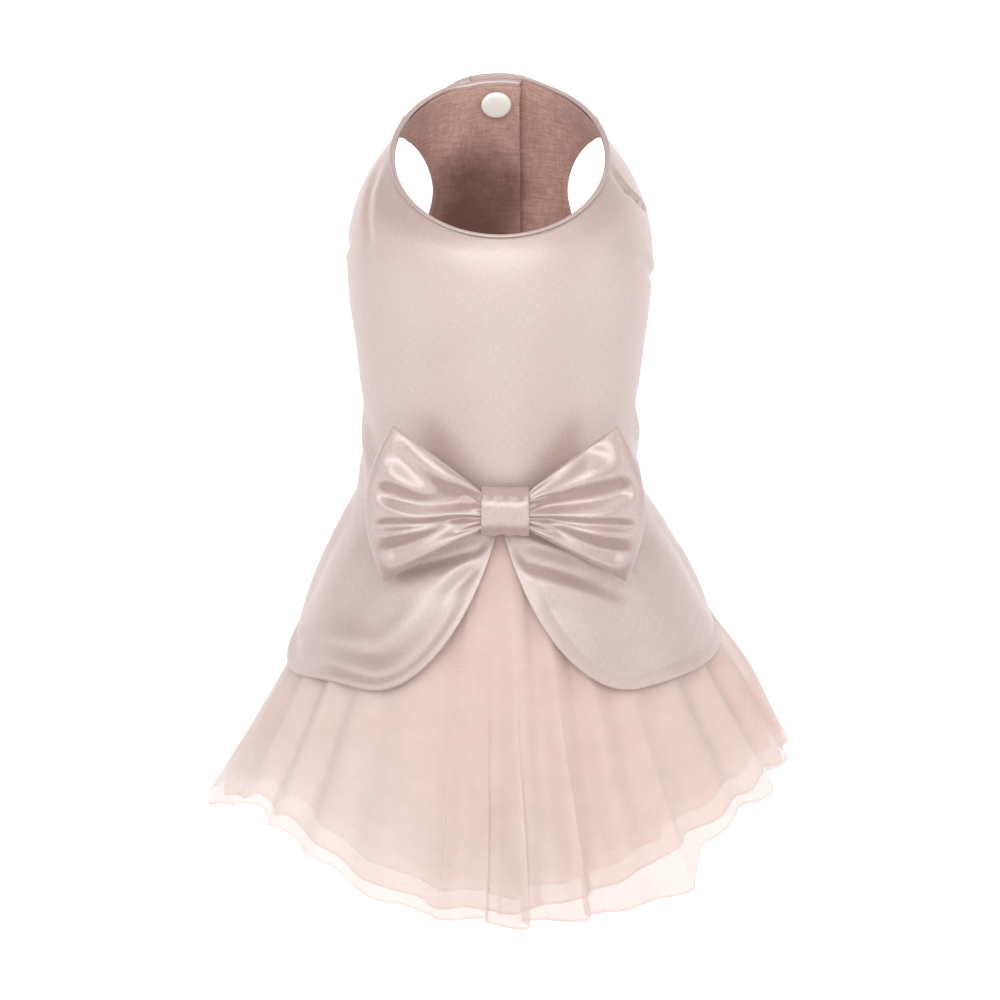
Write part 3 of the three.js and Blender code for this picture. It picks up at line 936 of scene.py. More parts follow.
    def chest(self, side: Side, satin: bool) -> tuple[np.ndarray, np.ndarray]:
        """A chest half's grid, in satin or lining.

        Args:
            side: which half.
            satin: whether the cloth is the satin or the lining.

        Returns:
            The points and their flat places in mm.
        """
        inner = side is Side.INNER
        reach = self.inner_reach if inner else self.outer_reach
        handed = -1.0 if inner else 1.0
        shares = close_to_edges(66.0, 40)
        near, far = (lambda u: self.edges(u)[1]), (lambda u: self.flap_edge(u, reach))
        first, last = (far, near) if inner else (near, far)
        angle, up, depth = self.panel(first, last, shares, satin, self.chest_neck)
        step = self.flap_step * smooth(angle, 148.0, 164.0) if inner else 0.0
        edge_share = shares if inner else 1.0 - shares
        from_edge = edge_share[None, :] * np.radians(self.flap_edge(up, reach) - self.edges(up)[1]) * 55.0
        drop = rolled(from_edge, self.wall / 2)
        gape = self.gape * smooth(14.0 - from_edge, 0.0, 14.0)
        gape = gape * smooth(up, 0.62, 0.84) * smooth(0.99 - up, 0.0, 0.1)
        depth = depth + step + (drop if satin else -drop) + (gape if inner else 0.0)
        seed = 4.1 if inner else 8.7
        points, flat = self.lay(handed * angle, up, depth, satin, False, CHEST_CREASES[side], seed)
        if not inner:
            points[..., 2] += self.flap_rise * smooth(angle, 150.0, 178.0) * smooth(up, 0.85, 1.0)
        return points, flat

    def level_foot(self, points: np.ndarray, satin: bool) -> np.ndarray:
        """The same grid with its first row level along the waist seam, the satin's just into it."""
        points[0, :, 2] = self.waist_z + (-self.sunk_foot if satin else 0.15)
        return points


BACK_CREASES = (
    Crease(-94, 143, -60, 122, 1.1, 2.8, 2.0),
    Crease(-72, 134, -56, 108, 0.6, 4.5, 1.0),
    Crease(-80, 115, -97, 106, 1.0, 2.8, 1.5),
    Crease(84, 148, 80, 139, 1.2, 2.0),
    Crease(79, 141, 95, 121, 1.2, 1.4, -2.5),
    Crease(65, 109, 85, 95, 1.0, 2.8, 1.5),
    Crease(84, 96, 101, 94, 1.3, 2.6),
    Crease(-91, 34, -64, 13, -1.7, 4.4, 2.0),
    Crease(-96, 22, -72, 6, 1.0, 3.6, 1.0),
    Crease(76, 39, 104, 22, -1.5, 4.2, -2.0),
    Crease(78, 26, 100, 8, 0.9, 3.6),
    Crease(-58, 60, -50, 96, 0.5, 7.0),
    Crease(-20, 60, 14, 100, 0.3, 13.0),
    Crease(20, 30, 36, 78, 0.35, 12.0),
    Crease(-40, 20, -28, 50, 0.4, 9.0),
    Crease(30, 8, 50, 24, 0.6, 5.0),
    Crease(-34, 6, -56, 22, 0.6, 5.0),
)

CHEST_CREASES = {
    Side.INNER: (
        Crease(-128, 86, -142, 70, 1.1, 4.0, 2.0),
        Crease(-150, 30, -140, 66, 0.5, 8.0),
        Crease(-134, 10, -150, 30, 0.7, 5.0),
    ),
    Side.OUTER: (
        Crease(128, 86, 144, 72, 1.2, 4.0, -2.0),
        Crease(152, 20, 142, 60, 0.6, 8.0),
        Crease(132, 14, 152, 34, 0.6, 5.5),
    ),
}


# The skirt


@dataclass
class Skirt:
    """The cone that the peplum and the tulle hang on, from the waist seam."""

    waist_z: float = -137.3
    half_width: float = 59.0
    half_depth: float = 48.0
    edge: float = 119.0
    side_flare: float = 0.43
    right_extra: float = 0.04
    front_flare: float = 0.33

    def form(self, angle: np.ndarray, down: np.ndarray) -> np.ndarray:
        """Points at angles in degrees and distances down the slope in mm."""
        turn = np.radians(angle)
        side_flare = self.side_flare + self.right_extra * np.sin(turn)
        flare = np.hypot(side_flare * np.sin(turn), self.front_flare * np.cos(turn))
        return np.stack(
            [
                (self.half_width + side_flare * down) * np.sin(turn),
                -(self.half_depth + self.front_flare * down) * np.cos(turn),
                self.waist_z - down * np.sqrt(1 - flare**2),
            ],
            axis=-1,
        )

    def outward(self, angle: np.ndarray) -> np.ndarray:
        """Level unit vectors that point out of the skirt."""
        turn = np.radians(angle)
        return unit(
            np.stack([np.sin(turn) / self.half_width, -np.cos(turn) / self.half_depth, 0.0 * turn], axis=-1)
        )


@dataclass
class Peplum:
    """Two satin petals, faced with the same satin and turned at their hems."""

    skirt: Skirt = field(default_factory=Skirt)
    length: float = 73.0
    round_ends: float = 38.0
    roundness: float = 2.2
    shortens_from: float = 60.0
    shortening: float = 0.07
    shortening_span: float = 30.0
    bulge: float = 2.4
    first_angle: float = 0.5
    wall: float = 1.3
    left_curl: float = 2.1
    left_swell: float = 3.4
    right_curl: float = 0.6
    left_corner: float = 6.0
    groove_inset: float = 6.8
    groove_inner: float = 3.0
    groove_outer: float = 7.0
    swell_inset: float = 17.0
    flat_girth: float = 66.0

    def petal_length(self, angle: np.ndarray) -> np.ndarray:
        """A petal's length at angles from the middle of the back."""
        near_split = np.maximum(1 - angle / self.round_ends, 0.0) ** self.roundness
        past = np.maximum(angle - self.shortens_from, 0.0) / self.shortening_span
        return self.length * (1 - near_split) * (1 - self.shortening * past**2)

    def grids(self, handed: int, creases: Sequence[Crease]) -> tuple[np.ndarray, np.ndarray, np.ndarray]:
        """A petal's face and its facing.

        Args:
            handed: 1 for the right petal, -1 for the left.
            creases: its creases, on its flat cloth.

        Returns:
            The face's and the facing's points and their flat places, in mm.
        """
        shares = close_to_edges(150.0, 104)
        angle = mix(self.first_angle, self.skirt.edge, shares**1.35)
        rows = close_to_edges(70.0, 52)
        size = angle
        if handed < 0:
            angle, size = -angle[::-1], angle[::-1]
        length = self.petal_length(size)
        if handed < 0:
            length = length + self.left_corner * smooth(size, 46.0, 80.0) * (1 - smooth(size, 96.0, 119.0))
        down = length[None, :] * (1 - rows[:, None])
        angles = np.repeat(angle[None, :], len(rows), axis=0)
        base = self.skirt.form(angles, down)
        out = self.skirt.outward(angles)
        base = base + out * (self.bulge * np.sin(math.pi * np.minimum(down / self.length, 1.0)))[..., None]
        split, outer_end = (base[:, -1], base[:, 0]) if handed < 0 else (base[:, 0], base[:, -1])
        from_curl = distance_to(base, np.concatenate([base[0], split]))
        from_hem = np.minimum(from_curl, distance_to(base, outer_end))
        from_seam = distance_to(base, base[-1])
        normals = grid_normals(base)
        flat = np.stack([np.radians(angles) * self.flat_girth, down], axis=-1)
        curl = self.left_curl if handed < 0 else self.right_curl
        band = 0.4 * curl * np.exp(-(((from_curl - 1.8) / 2.2) ** 2))
        reach = np.where(from_curl < self.groove_inset, self.groove_inner, self.groove_outer)
        groove = curl * np.exp(-(((from_curl - self.groove_inset) / reach) ** 2))
        if handed < 0:
            swell = self.left_swell * np.exp(-(((from_curl - self.swell_inset) / self.groove_outer) ** 2))
            groove = groove - swell * (1 - smooth(np.abs(angles), 66.0, 92.0))
        else:
            groove = groove + 0.35 * np.exp(-(((from_curl - 6.2) / 0.8) ** 2))
        waves = 0.45 * ripple(base, 30.0, 2.0 + handed) + 0.12 * ripple(base, 11.0, 5.0 + handed)
        calm = smooth(from_hem, 0.0, 6.0) * smooth(from_seam, 0.0, 5.0)
        press = (all_creases(creases, flat) - waves) * calm + (groove - band) * smooth(down, 16.0, 46.0)
        drop = rolled(np.minimum(from_hem, from_seam), self.wall / 2)
        face = base - normals * (press + drop)[..., None]
        facing = base - normals * (press + self.wall - drop)[..., None]
        return face, facing, flat


PETAL_CREASES = {
    -1: (
        Crease(-4, 10, -36, 22, 2.6, 3.6, 1.5),
        Crease(-6, 18, -20, 31, 1.6, 2.8, 1.5),
        Crease(-26, 26, -44, 34, -0.9, 6.0),
        Crease(-56, 12, -60, 50, 0.7, 7.0),
        Crease(-88, 10, -96, 50, 0.8, 6.0),
        Crease(-112, 8, -120, 46, 0.9, 6.0),
    ),
    1: (
        Crease(4, 14, 44, 31, 2.9, 4.2, -2.0),
        Crease(10, 8, 30, 15, -1.2, 3.0),
        Crease(22, 36, 40, 44, 0.5, 3.5),
        Crease(60, 8, 66, 34, 0.9, 6.5),
        Crease(90, 10, 98, 50, 0.8, 6.0),
        Crease(116, 8, 122, 46, 0.9, 6.0),
    ),
}


@dataclass(frozen=True)
class NetSheet:
    """One sheet of net: how much shorter it is than the skirt, and its own soft folds."""

    shorter: float
    folds: float
    drift: float
    depth: float
    right_kick: float = 0.0


@dataclass(frozen=True)
class NetLayer:
    """One tulle layer: the node that it replaces, its sheets and its finish."""

    node: str
    sheets: tuple[NetSheet, ...]
    finish: Net


@dataclass(frozen=True)
class Tuck:
    """A place where the net folds over itself towards the hem, in degrees."""

    angle: float
    wide: float = 5.5
    shift: float = 2.6
    deep: float = 1.3


TUCKS = (
    Tuck(-52.0, 9.0, 1.2, 0.6),
    Tuck(-11.5, 5.5, 1.8, 0.8),
    Tuck(-2.5, 3.6, 1.8, 1.3),
    Tuck(4.5, 4.2, 3.0, 1.6),
    Tuck(15.5, 4.0, 2.4, 1.3),
    Tuck(36.5, 7.0, 1.8, 0.9),
    Tuck(66.0, 9.0, 1.2, 0.6),
    Tuck(94.0, 8.0, 1.4, 0.8),
    Tuck(-88.0, 8.0, 1.4, 0.8),
)


# How much longer the outermost hem hangs, in mm, at angles in degrees
HEM_ANGLES = (-119, -90, -77, -65, -52, -38, -22, -8, 6, 19, 30, 37.5, 39, 41.5, 50, 119)
HEM_CHANGES = (6, 7, -1, -11, -13, -8, -2, 0, 0.5, 5, 9, 12, 10, 2, 0, 0)


@dataclass
class TulleSkirt:
    """Gathered sheets of fine tulle, each lying inside the one before."""

    skirt: Skirt = field(default_factory=Skirt)
    side_length: float = 133.0
    back_extra: float = 25.0
    left_extra: float = 8.0
    folds: int = 18
    spread: float = 1.25
    kick: float = 10.0
    kick_start: float = 0.5
    hem_wave: float = 1.6
    inset: float = 1.3
    between: float = 0.7
    softness: float = 0.6
    columns: int = 880
    rows: int = 30

    def gather(self, angle: np.ndarray, folds: float, drift: float) -> np.ndarray:
        """The wave of a sheet's folds, from -1 in a hollow to 1 on a ridge."""
        share = (angle + self.skirt.edge) / (2 * self.skirt.edge)
        along = 0.3 * np.sin(9.1 * share + 0.8 + drift) + 0.16 * np.sin(21.7 * share + drift)
        strength = 0.72 + 0.28 * np.sin(23.3 * share + 2 + drift)
        return strength * np.cos(2 * math.pi * (folds * share + along + 0.13 * drift))

    def length(self, angle: np.ndarray) -> np.ndarray:
        """The skirt's length at angles."""
        turn = np.radians(angle)
        over_back = np.maximum(np.cos(turn), 0.0) ** 3
        return (
            self.side_length
            + self.back_extra * over_back
            - self.left_extra * np.sin(turn)
            + self.hem_wave * self.gather(angle + 4, self.folds, 0.0)
        )

    def under(self, sheets: Sequence[NetSheet], angle: np.ndarray, down: np.ndarray) -> np.ndarray:
        """How far the last of some sheets lies inside the skirt's form, never outside those before it."""
        along = down / self.side_length
        turn = np.sin(np.radians(angle)) ** 2
        kick = self.kick * mix(0.25, 1.0, turn) * (np.maximum(along - self.kick_start, 0) / 0.5) ** 1.3
        before: np.ndarray | None = None
        for sheet in sheets:
            wave = self.gather(angle, sheet.folds, sheet.drift)
            depth = mix(0.25, sheet.depth, smooth(along, 0.0, 0.9))
            flare = sheet.right_kick * smooth(angle, 62.0, 96.0) * np.exp(-(((along - 0.62) / 0.2) ** 2))
            own = self.inset * (1 + self.spread * along) - kick + depth * (1 - wave) - flare
            if before is not None:
                room = before + self.between + 0.4 * along
                own = room + self.softness * np.logaddexp(0.0, (own - room) / self.softness)
            before = own
        return before

    def sheet(self, sheets: Sequence[NetSheet], seed: float) -> tuple[np.ndarray, np.ndarray]:
        """The last of some sheets.

        Args:
            sheets: the sheets from the outermost to this one.
            seed: a number that changes its small gathers.

        Returns:
            The points and their flat places in mm, measured up from the hem.
        """
        this = sheets[-1]
        edge = self.skirt.edge
        angle = np.linspace(-edge, edge, self.columns)
        rows = np.linspace(1.0, 0.0, self.rows) ** 0.9
        uneven = 1.6 * np.sin(angle * 0.09 + seed) + 0.8 * np.sin(angle * 0.23 + 2 * seed)
        shorter_right = 0.9 * this.right_kick * smooth(angle, 55.0, 95.0)
        change = np.interp(angle, HEM_ANGLES, HEM_CHANGES)
        change = change if len(sheets) == 1 else np.minimum(change, 0.0)
        whole = self.length(angle) - this.shorter - shorter_right + 0.6 * uneven + 1.2 + change
        down = rows[:, None] * whole[None, :]
        along = down / self.side_length
        place = np.repeat(angle[None, :], self.rows, axis=0)
        lift = np.zeros_like(place)
        for tuck in TUCKS:
            centre = tuck.angle + 2.6 * math.sin(seed * 5 + tuck.angle) * (seed > 0.5)
            x = np.clip((angle[None, :] - centre) / tuck.wide, -1.0, 1.0)
            window = (1 + np.cos(math.pi * x)) / 2 * np.sin(math.pi * x)
            grown = smooth(along, 0.3, 1.05)
            place = place - tuck.shift * window * grown
            lift = lift - tuck.deep * window * grown
        place = np.clip(place, -edge, edge)
        under = self.under(sheets, place, down) - lift
        share = (angle[None, :] + edge) / (2 * edge)
        fine = np.sin(2 * math.pi * 74 * share + 3 * np.sin(17 * share + seed)) * np.exp(-3.2 * along)
        under = under - 0.2 * fine * smooth(along, 0.0, 0.04)
        points = self.skirt.form(place, down) - self.skirt.outward(place) * under[..., None]
        travelled = lengths_along(points[0])
        return points, np.stack(np.broadcast_arrays(travelled[None, :], whole[None, :] - down), axis=-1)

    def cut(self, points: np.ndarray, flat: np.ndarray) -> tuple[float, float, float]:
        """The arc that a sheet is cut as: its hem and its length in metres and its area in square metres."""
        widths = np.linalg.norm(np.diff(points, axis=1), axis=-1).sum(axis=1)
        steps = np.linalg.norm(np.diff(points, axis=0), axis=-1).mean(axis=1)
        area = float((steps * (widths[1:] + widths[:-1]) / 2).sum())
        hem, length = float(widths.max()), float(flat[..., 1].max())
        return round(hem * MM, 3), round(length * MM, 3), round(area * MM * MM, 4)


# The bow


@dataclass(frozen=True)
class Fold:
    """A fold of a wing's front: a trough, or a ridge where deep is negative.

    The path gives its height over the bow's middle in mm, at shares of the wing's reach. The wall
    over it hangs and lies in shade, and the wall under it faces the light.
    """

    path: tuple[tuple[float, float], ...]
    deep: float
    over: float
    under: float
    start: float = 0.12
    stop: float = 0.99

    def depth(self, share: np.ndarray, height: np.ndarray) -> np.ndarray:
        """How deep it is in mm, at shares of the reach and heights in mm."""
        shares, heights = zip(*self.path)
        size = mix(0.45, 1.0, smooth(share, 0.13, 0.62))
        away = height - np.interp(share, shares, heights) + 0.55 * self.over * size
        wide = np.where(away > 0, self.over, self.under) * size
        fade = smooth(share, self.start, self.start + 0.2)
        fade = fade * (1 - smooth(share, self.stop - 0.16, self.stop))
        return self.deep * mix(0.6, 1.05, size) * fade * np.exp(-((away / wide) ** 2))


WING_FOLDS = {
    -1: (
        Fold(((0.2, 6.6), (0.47, 11.7), (0.66, 17.5), (0.88, 25.6)), 5.0, 5.2, 4.8, 0.13, 1.0),
        Fold(((0.2, 5.0), (0.43, 5.5), (0.66, 7.1), (0.84, 9.3), (0.95, 11.0)), 5.6, 4.8, 3.2),
        Fold(((0.2, -0.8), (0.45, -1.5), (0.7, -2.8), (0.92, -4.5)), 3.2, 2.4, 2.0),
        Fold(((0.3, -2.0), (0.41, -3.2), (0.58, -7.1), (0.75, -11.0), (0.93, -14.9)), 5.0, 4.2, 4.6, 0.22),
        Fold(((0.2, -4.6), (0.34, -6.6)), 1.5, 0.9, 0.9, 0.1, 0.42),
        Fold(((0.2, -5.6), (0.3, -7.2)), 1.3, 0.7, 0.7, 0.1, 0.36),
        Fold(((0.2, 6.1), (0.36, 9.6)), 1.0, 0.6, 0.8, 0.1, 0.46),
    ),
    1: (
        Fold(((0.2, 7.6), (0.33, 12.3), (0.5, 18.8), (0.68, 26.0)), 3.4, 3.0, 4.4, 0.13, 0.92),
        Fold(((0.21, 3.2), (0.33, 5.2), (0.52, 7.8), (0.72, 9.3), (0.93, 11.9)), 6.0, 5.4, 3.6),
        Fold(((0.2, -1.2), (0.5, -1.8), (0.72, -3.2), (0.93, -5.2)), 3.2, 2.4, 2.0),
        Fold(((0.3, -2.6), (0.33, -3.2), (0.53, -7.8), (0.72, -11.9), (0.9, -14.8)), 5.0, 4.2, 4.6, 0.22),
        Fold(((0.2, -4.7), (0.33, -6.8)), 1.6, 0.9, 0.9, 0.1, 0.42),
        Fold(((0.2, -5.7), (0.28, -7.0)), 1.3, 0.7, 0.7, 0.1, 0.34),
        Fold(((0.2, 5.6), (0.34, 8.0)), 0.9, 0.6, 0.7, 0.1, 0.44),
    ),
}


@dataclass
class Bow:
    """Two satin loops in one band, drawn in by a knot band."""

    x: float = 2.0
    y: float = -57.6
    z: float = -132.0
    reach: float = 55.5
    top_reach: float = 44.0
    bottom_reach: float = 48.0
    opens_from: float = 0.15
    opens_to: float = 0.955
    knot_height: float = 6.4
    top_height: float = 34.8
    bottom_height: float = 30.4
    knot_fullness: float = 2.2
    fullness: float = 6.2
    back_fullness: float = 0.9
    sweep_back: float = 8.5
    lean: float = 4.0
    crown: float = 2.6
    wall: float = 1.5
    columns: int = 220
    rows: int = 64
    knot_width: float = 19.0
    knot_half_height: float = 9.2
    knot_front: float = -64.0
    knot_back: float = -49.8
    knot_front_corner: float = 7.4
    knot_wall: float = 1.4
    knot_waist: float = 0.045
    knot_length: float = 46.0
    knot_columns: int = 121
    flat_half_width: float = 32.0

    def loops(self) -> tuple[np.ndarray, np.ndarray, np.ndarray]:
        """The band's outer and inner faces, round through the knot, and their flat places."""
        turn = np.linspace(0, 2 * math.pi, self.columns + 1)
        turn = turn + 0.28 * np.sin(2 * turn)
        across = 2.0 * close_to_edges(62.0, self.rows - 14) - 1.0
        outward = np.sin(turn)[None, :]
        front = (np.cos(turn) > 0)[None, :]
        share = np.abs(outward)
        level = across[:, None]
        edge_reach = np.where(level > 0, self.top_reach, self.bottom_reach)
        reach = mix(self.reach, edge_reach, level**2)
        height = np.where(level > 0, self.top_height, self.bottom_height)
        opening = np.clip((share - self.opens_from) / (1 - self.opens_from), 0.0, 1.0)
        spread = self.opens_to * opening ** np.where(level > 0, 0.92, 1.12)
        tall = mix(self.knot_height, height, spread)
        full = mix(self.knot_fullness, self.fullness, smooth(share, 0.1, 0.65))
        closing = np.sqrt(np.maximum(1 - share**5, 0.0)) * np.sqrt(1 - 0.93 * np.abs(level) ** 6)
        crown = self.crown * (1 - level**4) * smooth(share, 0.2, 0.6) * closing
        folds = np.zeros((len(across), len(turn)))
        for handed, table in WING_FOLDS.items():
            of_wing = (outward * handed > 0) & front
            for fold in table:
                folds -= of_wing * fold.depth(share, level * tall)
        gathers = 0.35 * np.cos(np.pi * 5.5 * level + 1.0) * smooth(0.5 - share, 0.0, 0.35)
        half = (full + crown) * closing + np.where(front, folds * closing + gathers, 0.0)
        lean = self.lean * np.maximum(-level, 0.0) * share
        y = self.y + self.sweep_back * share**2 - lean + np.where(front, -half, half * self.back_fullness)
        points = np.stack([self.x + outward * reach, y, self.z + level * tall], axis=-1)
        normals = band_normals(points)
        rim = np.concatenate([points[0], points[-1]])
        drop = rolled(distance_to(points, rim), self.wall / 2)
        outer = points - normals * drop[..., None]
        inner = points - normals * (self.wall - drop)[..., None]
        travelled = lengths_along(points[len(across) // 2])
        flat = np.stack(np.broadcast_arrays(travelled[None, :], level * self.flat_half_width), axis=-1)
        return outer, inner, flat

    def knot_outline(self, count: int) -> np.ndarray:
        """The knot band's section in y and z, evenly spaced, rounded most at its front."""
        corners = (
            (self.knot_back, -self.knot_half_height, 1.2),
            (self.knot_back, self.knot_half_height, 1.2),
            (self.knot_front, self.knot_half_height, self.knot_front_corner),
            (self.knot_front, -self.knot_half_height, self.knot_front_corner),
        )
        path = []
        for k, (y, z, radius) in enumerate(corners):
            before = np.array(corners[k - 1][:2])
            after = np.array(corners[(k + 1) % 4][:2])
            here = np.array([y, z])
            first = here + unit(before - here) * radius
            last = here + unit(after - here) * radius
            for t in np.linspace(0, 1, 12):
                path.append((1 - t) ** 2 * first + 2 * t * (1 - t) * here + t**2 * last)
        path.append(path[0])
        line = np.array(path)
        travelled = lengths_along(line)
        places = np.linspace(0, travelled[-1], count)
        return np.stack([np.interp(places, travelled, line[:, axis]) for axis in range(2)], axis=-1)

    def knot(self) -> tuple[np.ndarray, np.ndarray, np.ndarray]:
        """The knot band's outer and inner faces and their flat places."""
        section = self.knot_outline(self.knot_columns)
        rows = close_to_edges(self.knot_width, 22)
        x = self.x + (rows[:, None] - 0.5) * self.knot_width
        waisted = 1 - self.knot_waist * np.sin(math.pi * rows)[:, None]
        z = self.z + section[None, :, 1] * waisted
        points = np.stack(np.broadcast_arrays(x, section[None, :, 0], z), axis=-1)
        normals = band_normals(points)
        pleats = 0.16 * np.cos(2 * math.pi * rows * 3.2 + 0.6)[:, None] * smooth(-points[..., 1], 52.0, 60.0)
        pleats = pleats + 0.12 * ripple(points, 9.0, 3.0)
        rim = np.concatenate([points[0], points[-1]])
        from_rim = distance_to(points, rim)
        drop = rolled(from_rim, self.knot_wall / 2)
        outer = points - normals * (drop - pleats * smooth(from_rim, 0.0, 3.0))[..., None]
        inner = points - normals * (self.knot_wall - drop)[..., None]
        travelled = np.linspace(0, self.knot_length, self.knot_columns)
        flat = np.stack(np.broadcast_arrays(rows[:, None] * self.knot_width, travelled[None, :]), axis=-1)
        return outer, inner, flat


# The snaps


# Shares of a cap's radius and height, from the middle of its back to the middle of its dome
CAP_RADII = (0.0, 0.9, 0.985, 1.0, 0.985, 0.94, 0.86, 0.72, 0.5, 0.25, 0.0)
CAP_HEIGHTS = (0.0, 0.0, 0.1, 0.28, 0.5, 0.72, 0.88, 0.985, 1.0, 0.97, 0.955)


@dataclass
class Snap:
    """A domed plastic cap of a snap, lathed, with a rounded rim and a soft dish in its middle."""

    radius: float = 6.2
    height: float = 1.9
    steps: int = 48

    def build(self, node: str, out: Vector, material: bpy.types.Material) -> bpy.types.Object:
        """A cap in the place of its CAD solid.

        Args:
            node: the CAD node.
            out: the way that the cap faces.
            material: its finish.

        Returns:
            The object.
        """
        low, high = (Vector(corner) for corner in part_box(node))
        middle = (low + high) / 2
        work = bmesh.new()
        verts = [
            work.verts.new((self.radius * r * MM, 0.0, self.height * h * MM))
            for r, h in zip(CAP_RADII, CAP_HEIGHTS)
        ]
        edges = [work.edges.new(pair) for pair in zip(verts, verts[1:])]
        bmesh.ops.spin(
            work,
            geom=verts + edges,
            cent=(0, 0, 0),
            axis=(0, 0, 1),
            angle=2 * math.pi,
            steps=self.steps,
            use_merge=True,
            use_duplicate=False,
        )
        bmesh.ops.remove_doubles(work, verts=work.verts, dist=1e-6)
        bmesh.ops.recalc_face_normals(work, faces=work.faces)
        turn = out.to_track_quat("Z", "Y").to_matrix().to_4x4()
        lift = Matrix.Translation(Vector((0, 0, (abs(out.z) - self.height / 2) * MM)))
        bmesh.ops.transform(work, matrix=Matrix.Translation(middle) @ turn @ lift, verts=work.verts)
        return as_object(work, node + "_cap", material)


# Putting the dress together


class Dress:
    """The whole dress: makes each piece, dresses it and puts it in its CAD node's place."""

    def __init__(self) -> None:
        """Make the finishes."""
        self.satin = Satin().make()
        # The bow's satin has darker base colours as painted shade
        self.shaded_satin = SHADED_SATIN.make()
        self.lining = Lining().make()
        self.plastic = Plastic().make()
        self.lining_thread = Thread("lining_thread", (0.5, 0.3, 0.27, 1.0)).make()
        self.satin_thread = Thread("satin_thread", (0.72, 0.57, 0.54, 1.0)).make()
        self.bodice = Bodice()
        self.peplum = Peplum()
        self.tulle = TulleSkirt()
        self.bow = Bow()

    def place(self, piece: bpy.types.Object, slot: str, nodes: Sequence[str] = ()) -> None:
        """Ride a piece on the body and hide the nodes that it stands for."""
        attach(piece, ROOT)
        if nodes:
            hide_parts(*nodes)
        LOG.info("%s: %d faces", piece.name, len(piece.data.polygons))

    def add_bodice(self) -> None:
        """The back, the chest halves and their linings."""
        form = self.bodice
        pieces = (
            ("back_panel", None, (0.25, 0.165), 0.026),
            ("chest_panel_left", Side.INNER, (0.075, 0.17), 0.0083),
            ("chest_panel_right", Side.OUTER, (0.078, 0.17), 0.009),
        )
        for panel, side, cut, area in pieces:
            for satin in (True, False):
                node = panel if satin else panel.replace("panel", "lining")
                points, flat = form.chest(side, satin) if side else form.back(satin)
                cloth = ClothMesh(node + "_cloth")
                cloth.add_grid(form.level_foot(points, satin), flat, turned=not satin)
                piece = cloth.finish(self.satin if satin else self.lining, thickness=form.cloth)
                self.place(piece, "satin" if satin else "lining", (node,))

    def add_stitches(self) -> None:
        """Rows of stitches: beside the armholes inside, and along the flaps and the hem outside."""
        form = self.bodice
        inside = StitchRun("armhole_stitches")
        for handed in (-1.0, 1.0):
            up = form.beside_armhole(np.linspace(0.35, math.pi - 0.3, 80))
            back_edge, chest_edge = form.edges(up)
            for angle in (chest_edge + form.armhole_stitch_inset, back_edge - form.armhole_stitch_inset):
                base = form.trunk.points(handed * angle, up)
                inside.sew(base - unit(base * LEVEL) * (form.wall + 0.12))
        self.place(inside.finish(self.lining_thread), "lining")

        outside = StitchRun("closure_stitches", length=2.0, pitch=2.9)
        up = np.linspace(0.03, 0.965, 90)
        base = form.trunk.points(form.flap_edge(up, form.outer_reach - form.flap_stitch_inset), up)
        base[:, 2] += form.flap_rise * smooth(up, 0.85, 1.0)
        outside.sew(base + np.array([0.0, 0.12, 0.0]))
        for handed, last, step_share in ((1.0, 190.0, 0.0), (-1.0, 165.0, 1.0)):
            angle = np.linspace(121.5, last, 60)
            base = form.trunk.points(handed * angle, np.full_like(angle, form.hem_stitch_up))
            step = form.flap_step * smooth(angle, 148.0, 164.0) * step_share
            outside.sew(base + unit(base * LEVEL) * (0.3 - step)[:, None])
        self.place(outside.finish(self.satin_thread), "satin")

    def add_snaps(self) -> None:
        """Three snaps down the chest, a cap inside and a cap outside each."""
        for k, (tilt_in, tilt_out) in enumerate(((-0.5, 0.36), (0.04, 0.0), (0.0, 0.0)), start=1):
            for where, facing in (("inside", (0.03, -1.0, tilt_in)), ("outside", (-0.03, 1.0, tilt_out))):
                node = f"snap_{where}_{k}"
                self.place(Snap().build(node, Vector(facing), self.plastic), "snap", (node,))

    def add_peplum(self) -> None:
        """Both petals."""
        for handed, name in ((-1, "peplum_left"), (1, "peplum_right")):
            face, facing, flat = self.peplum.grids(handed, PETAL_CREASES[handed])
            cloth = ClothMesh(name + "_petal")
            cloth.add_grid(face, flat)
            cloth.add_grid(facing, flat, turned=True)
            piece = cloth.finish(self.satin, merge=0.02)
            self.place(piece, "satin", (name,))

    def add_tulle(self) -> None:
        """The tulle layers, each of one or two sheets of net."""
        layers = (
            NetLayer(
                "tulle_outer",
                (NetSheet(0.0, 18.0, 0.0, 2.8, 7.0), NetSheet(4.0, 11.0, 1.9, 2.6)),
                Net("tulle_outer_net", (0.86, 0.65, 0.6, 1.0), 0.62),
            ),
            NetLayer(
                "tulle_middle",
                (NetSheet(11.0, 13.0, 3.7, 2.6), NetSheet(16.0, 9.0, 5.2, 2.6)),
                Net("tulle_middle_net", (0.95, 0.62, 0.57, 1.0), 0.64),
            ),
            NetLayer(
                "tulle_inner",
                (NetSheet(24.0, 10.0, 7.4, 3.2),),
                Net("tulle_inner_net", (0.95, 0.55, 0.49, 1.0), 0.82),
            ),
        )
        laid: list[NetSheet] = []
        for layer in layers:
            material = layer.finish.make()
            for number, sheet in enumerate(layer.sheets, start=1):
                laid.append(sheet)
                points, flat = self.tulle.sheet(laid, 0.37 * len(laid))
                cloth = ClothMesh(f"{layer.node}_net_{number}")
                cloth.add_grid(points, flat)
                piece = cloth.finish(material)
                self.place(piece, "tulle", (layer.node,) if number == 1 else ())
                hem, length, area = self.tulle.cut(points, flat)

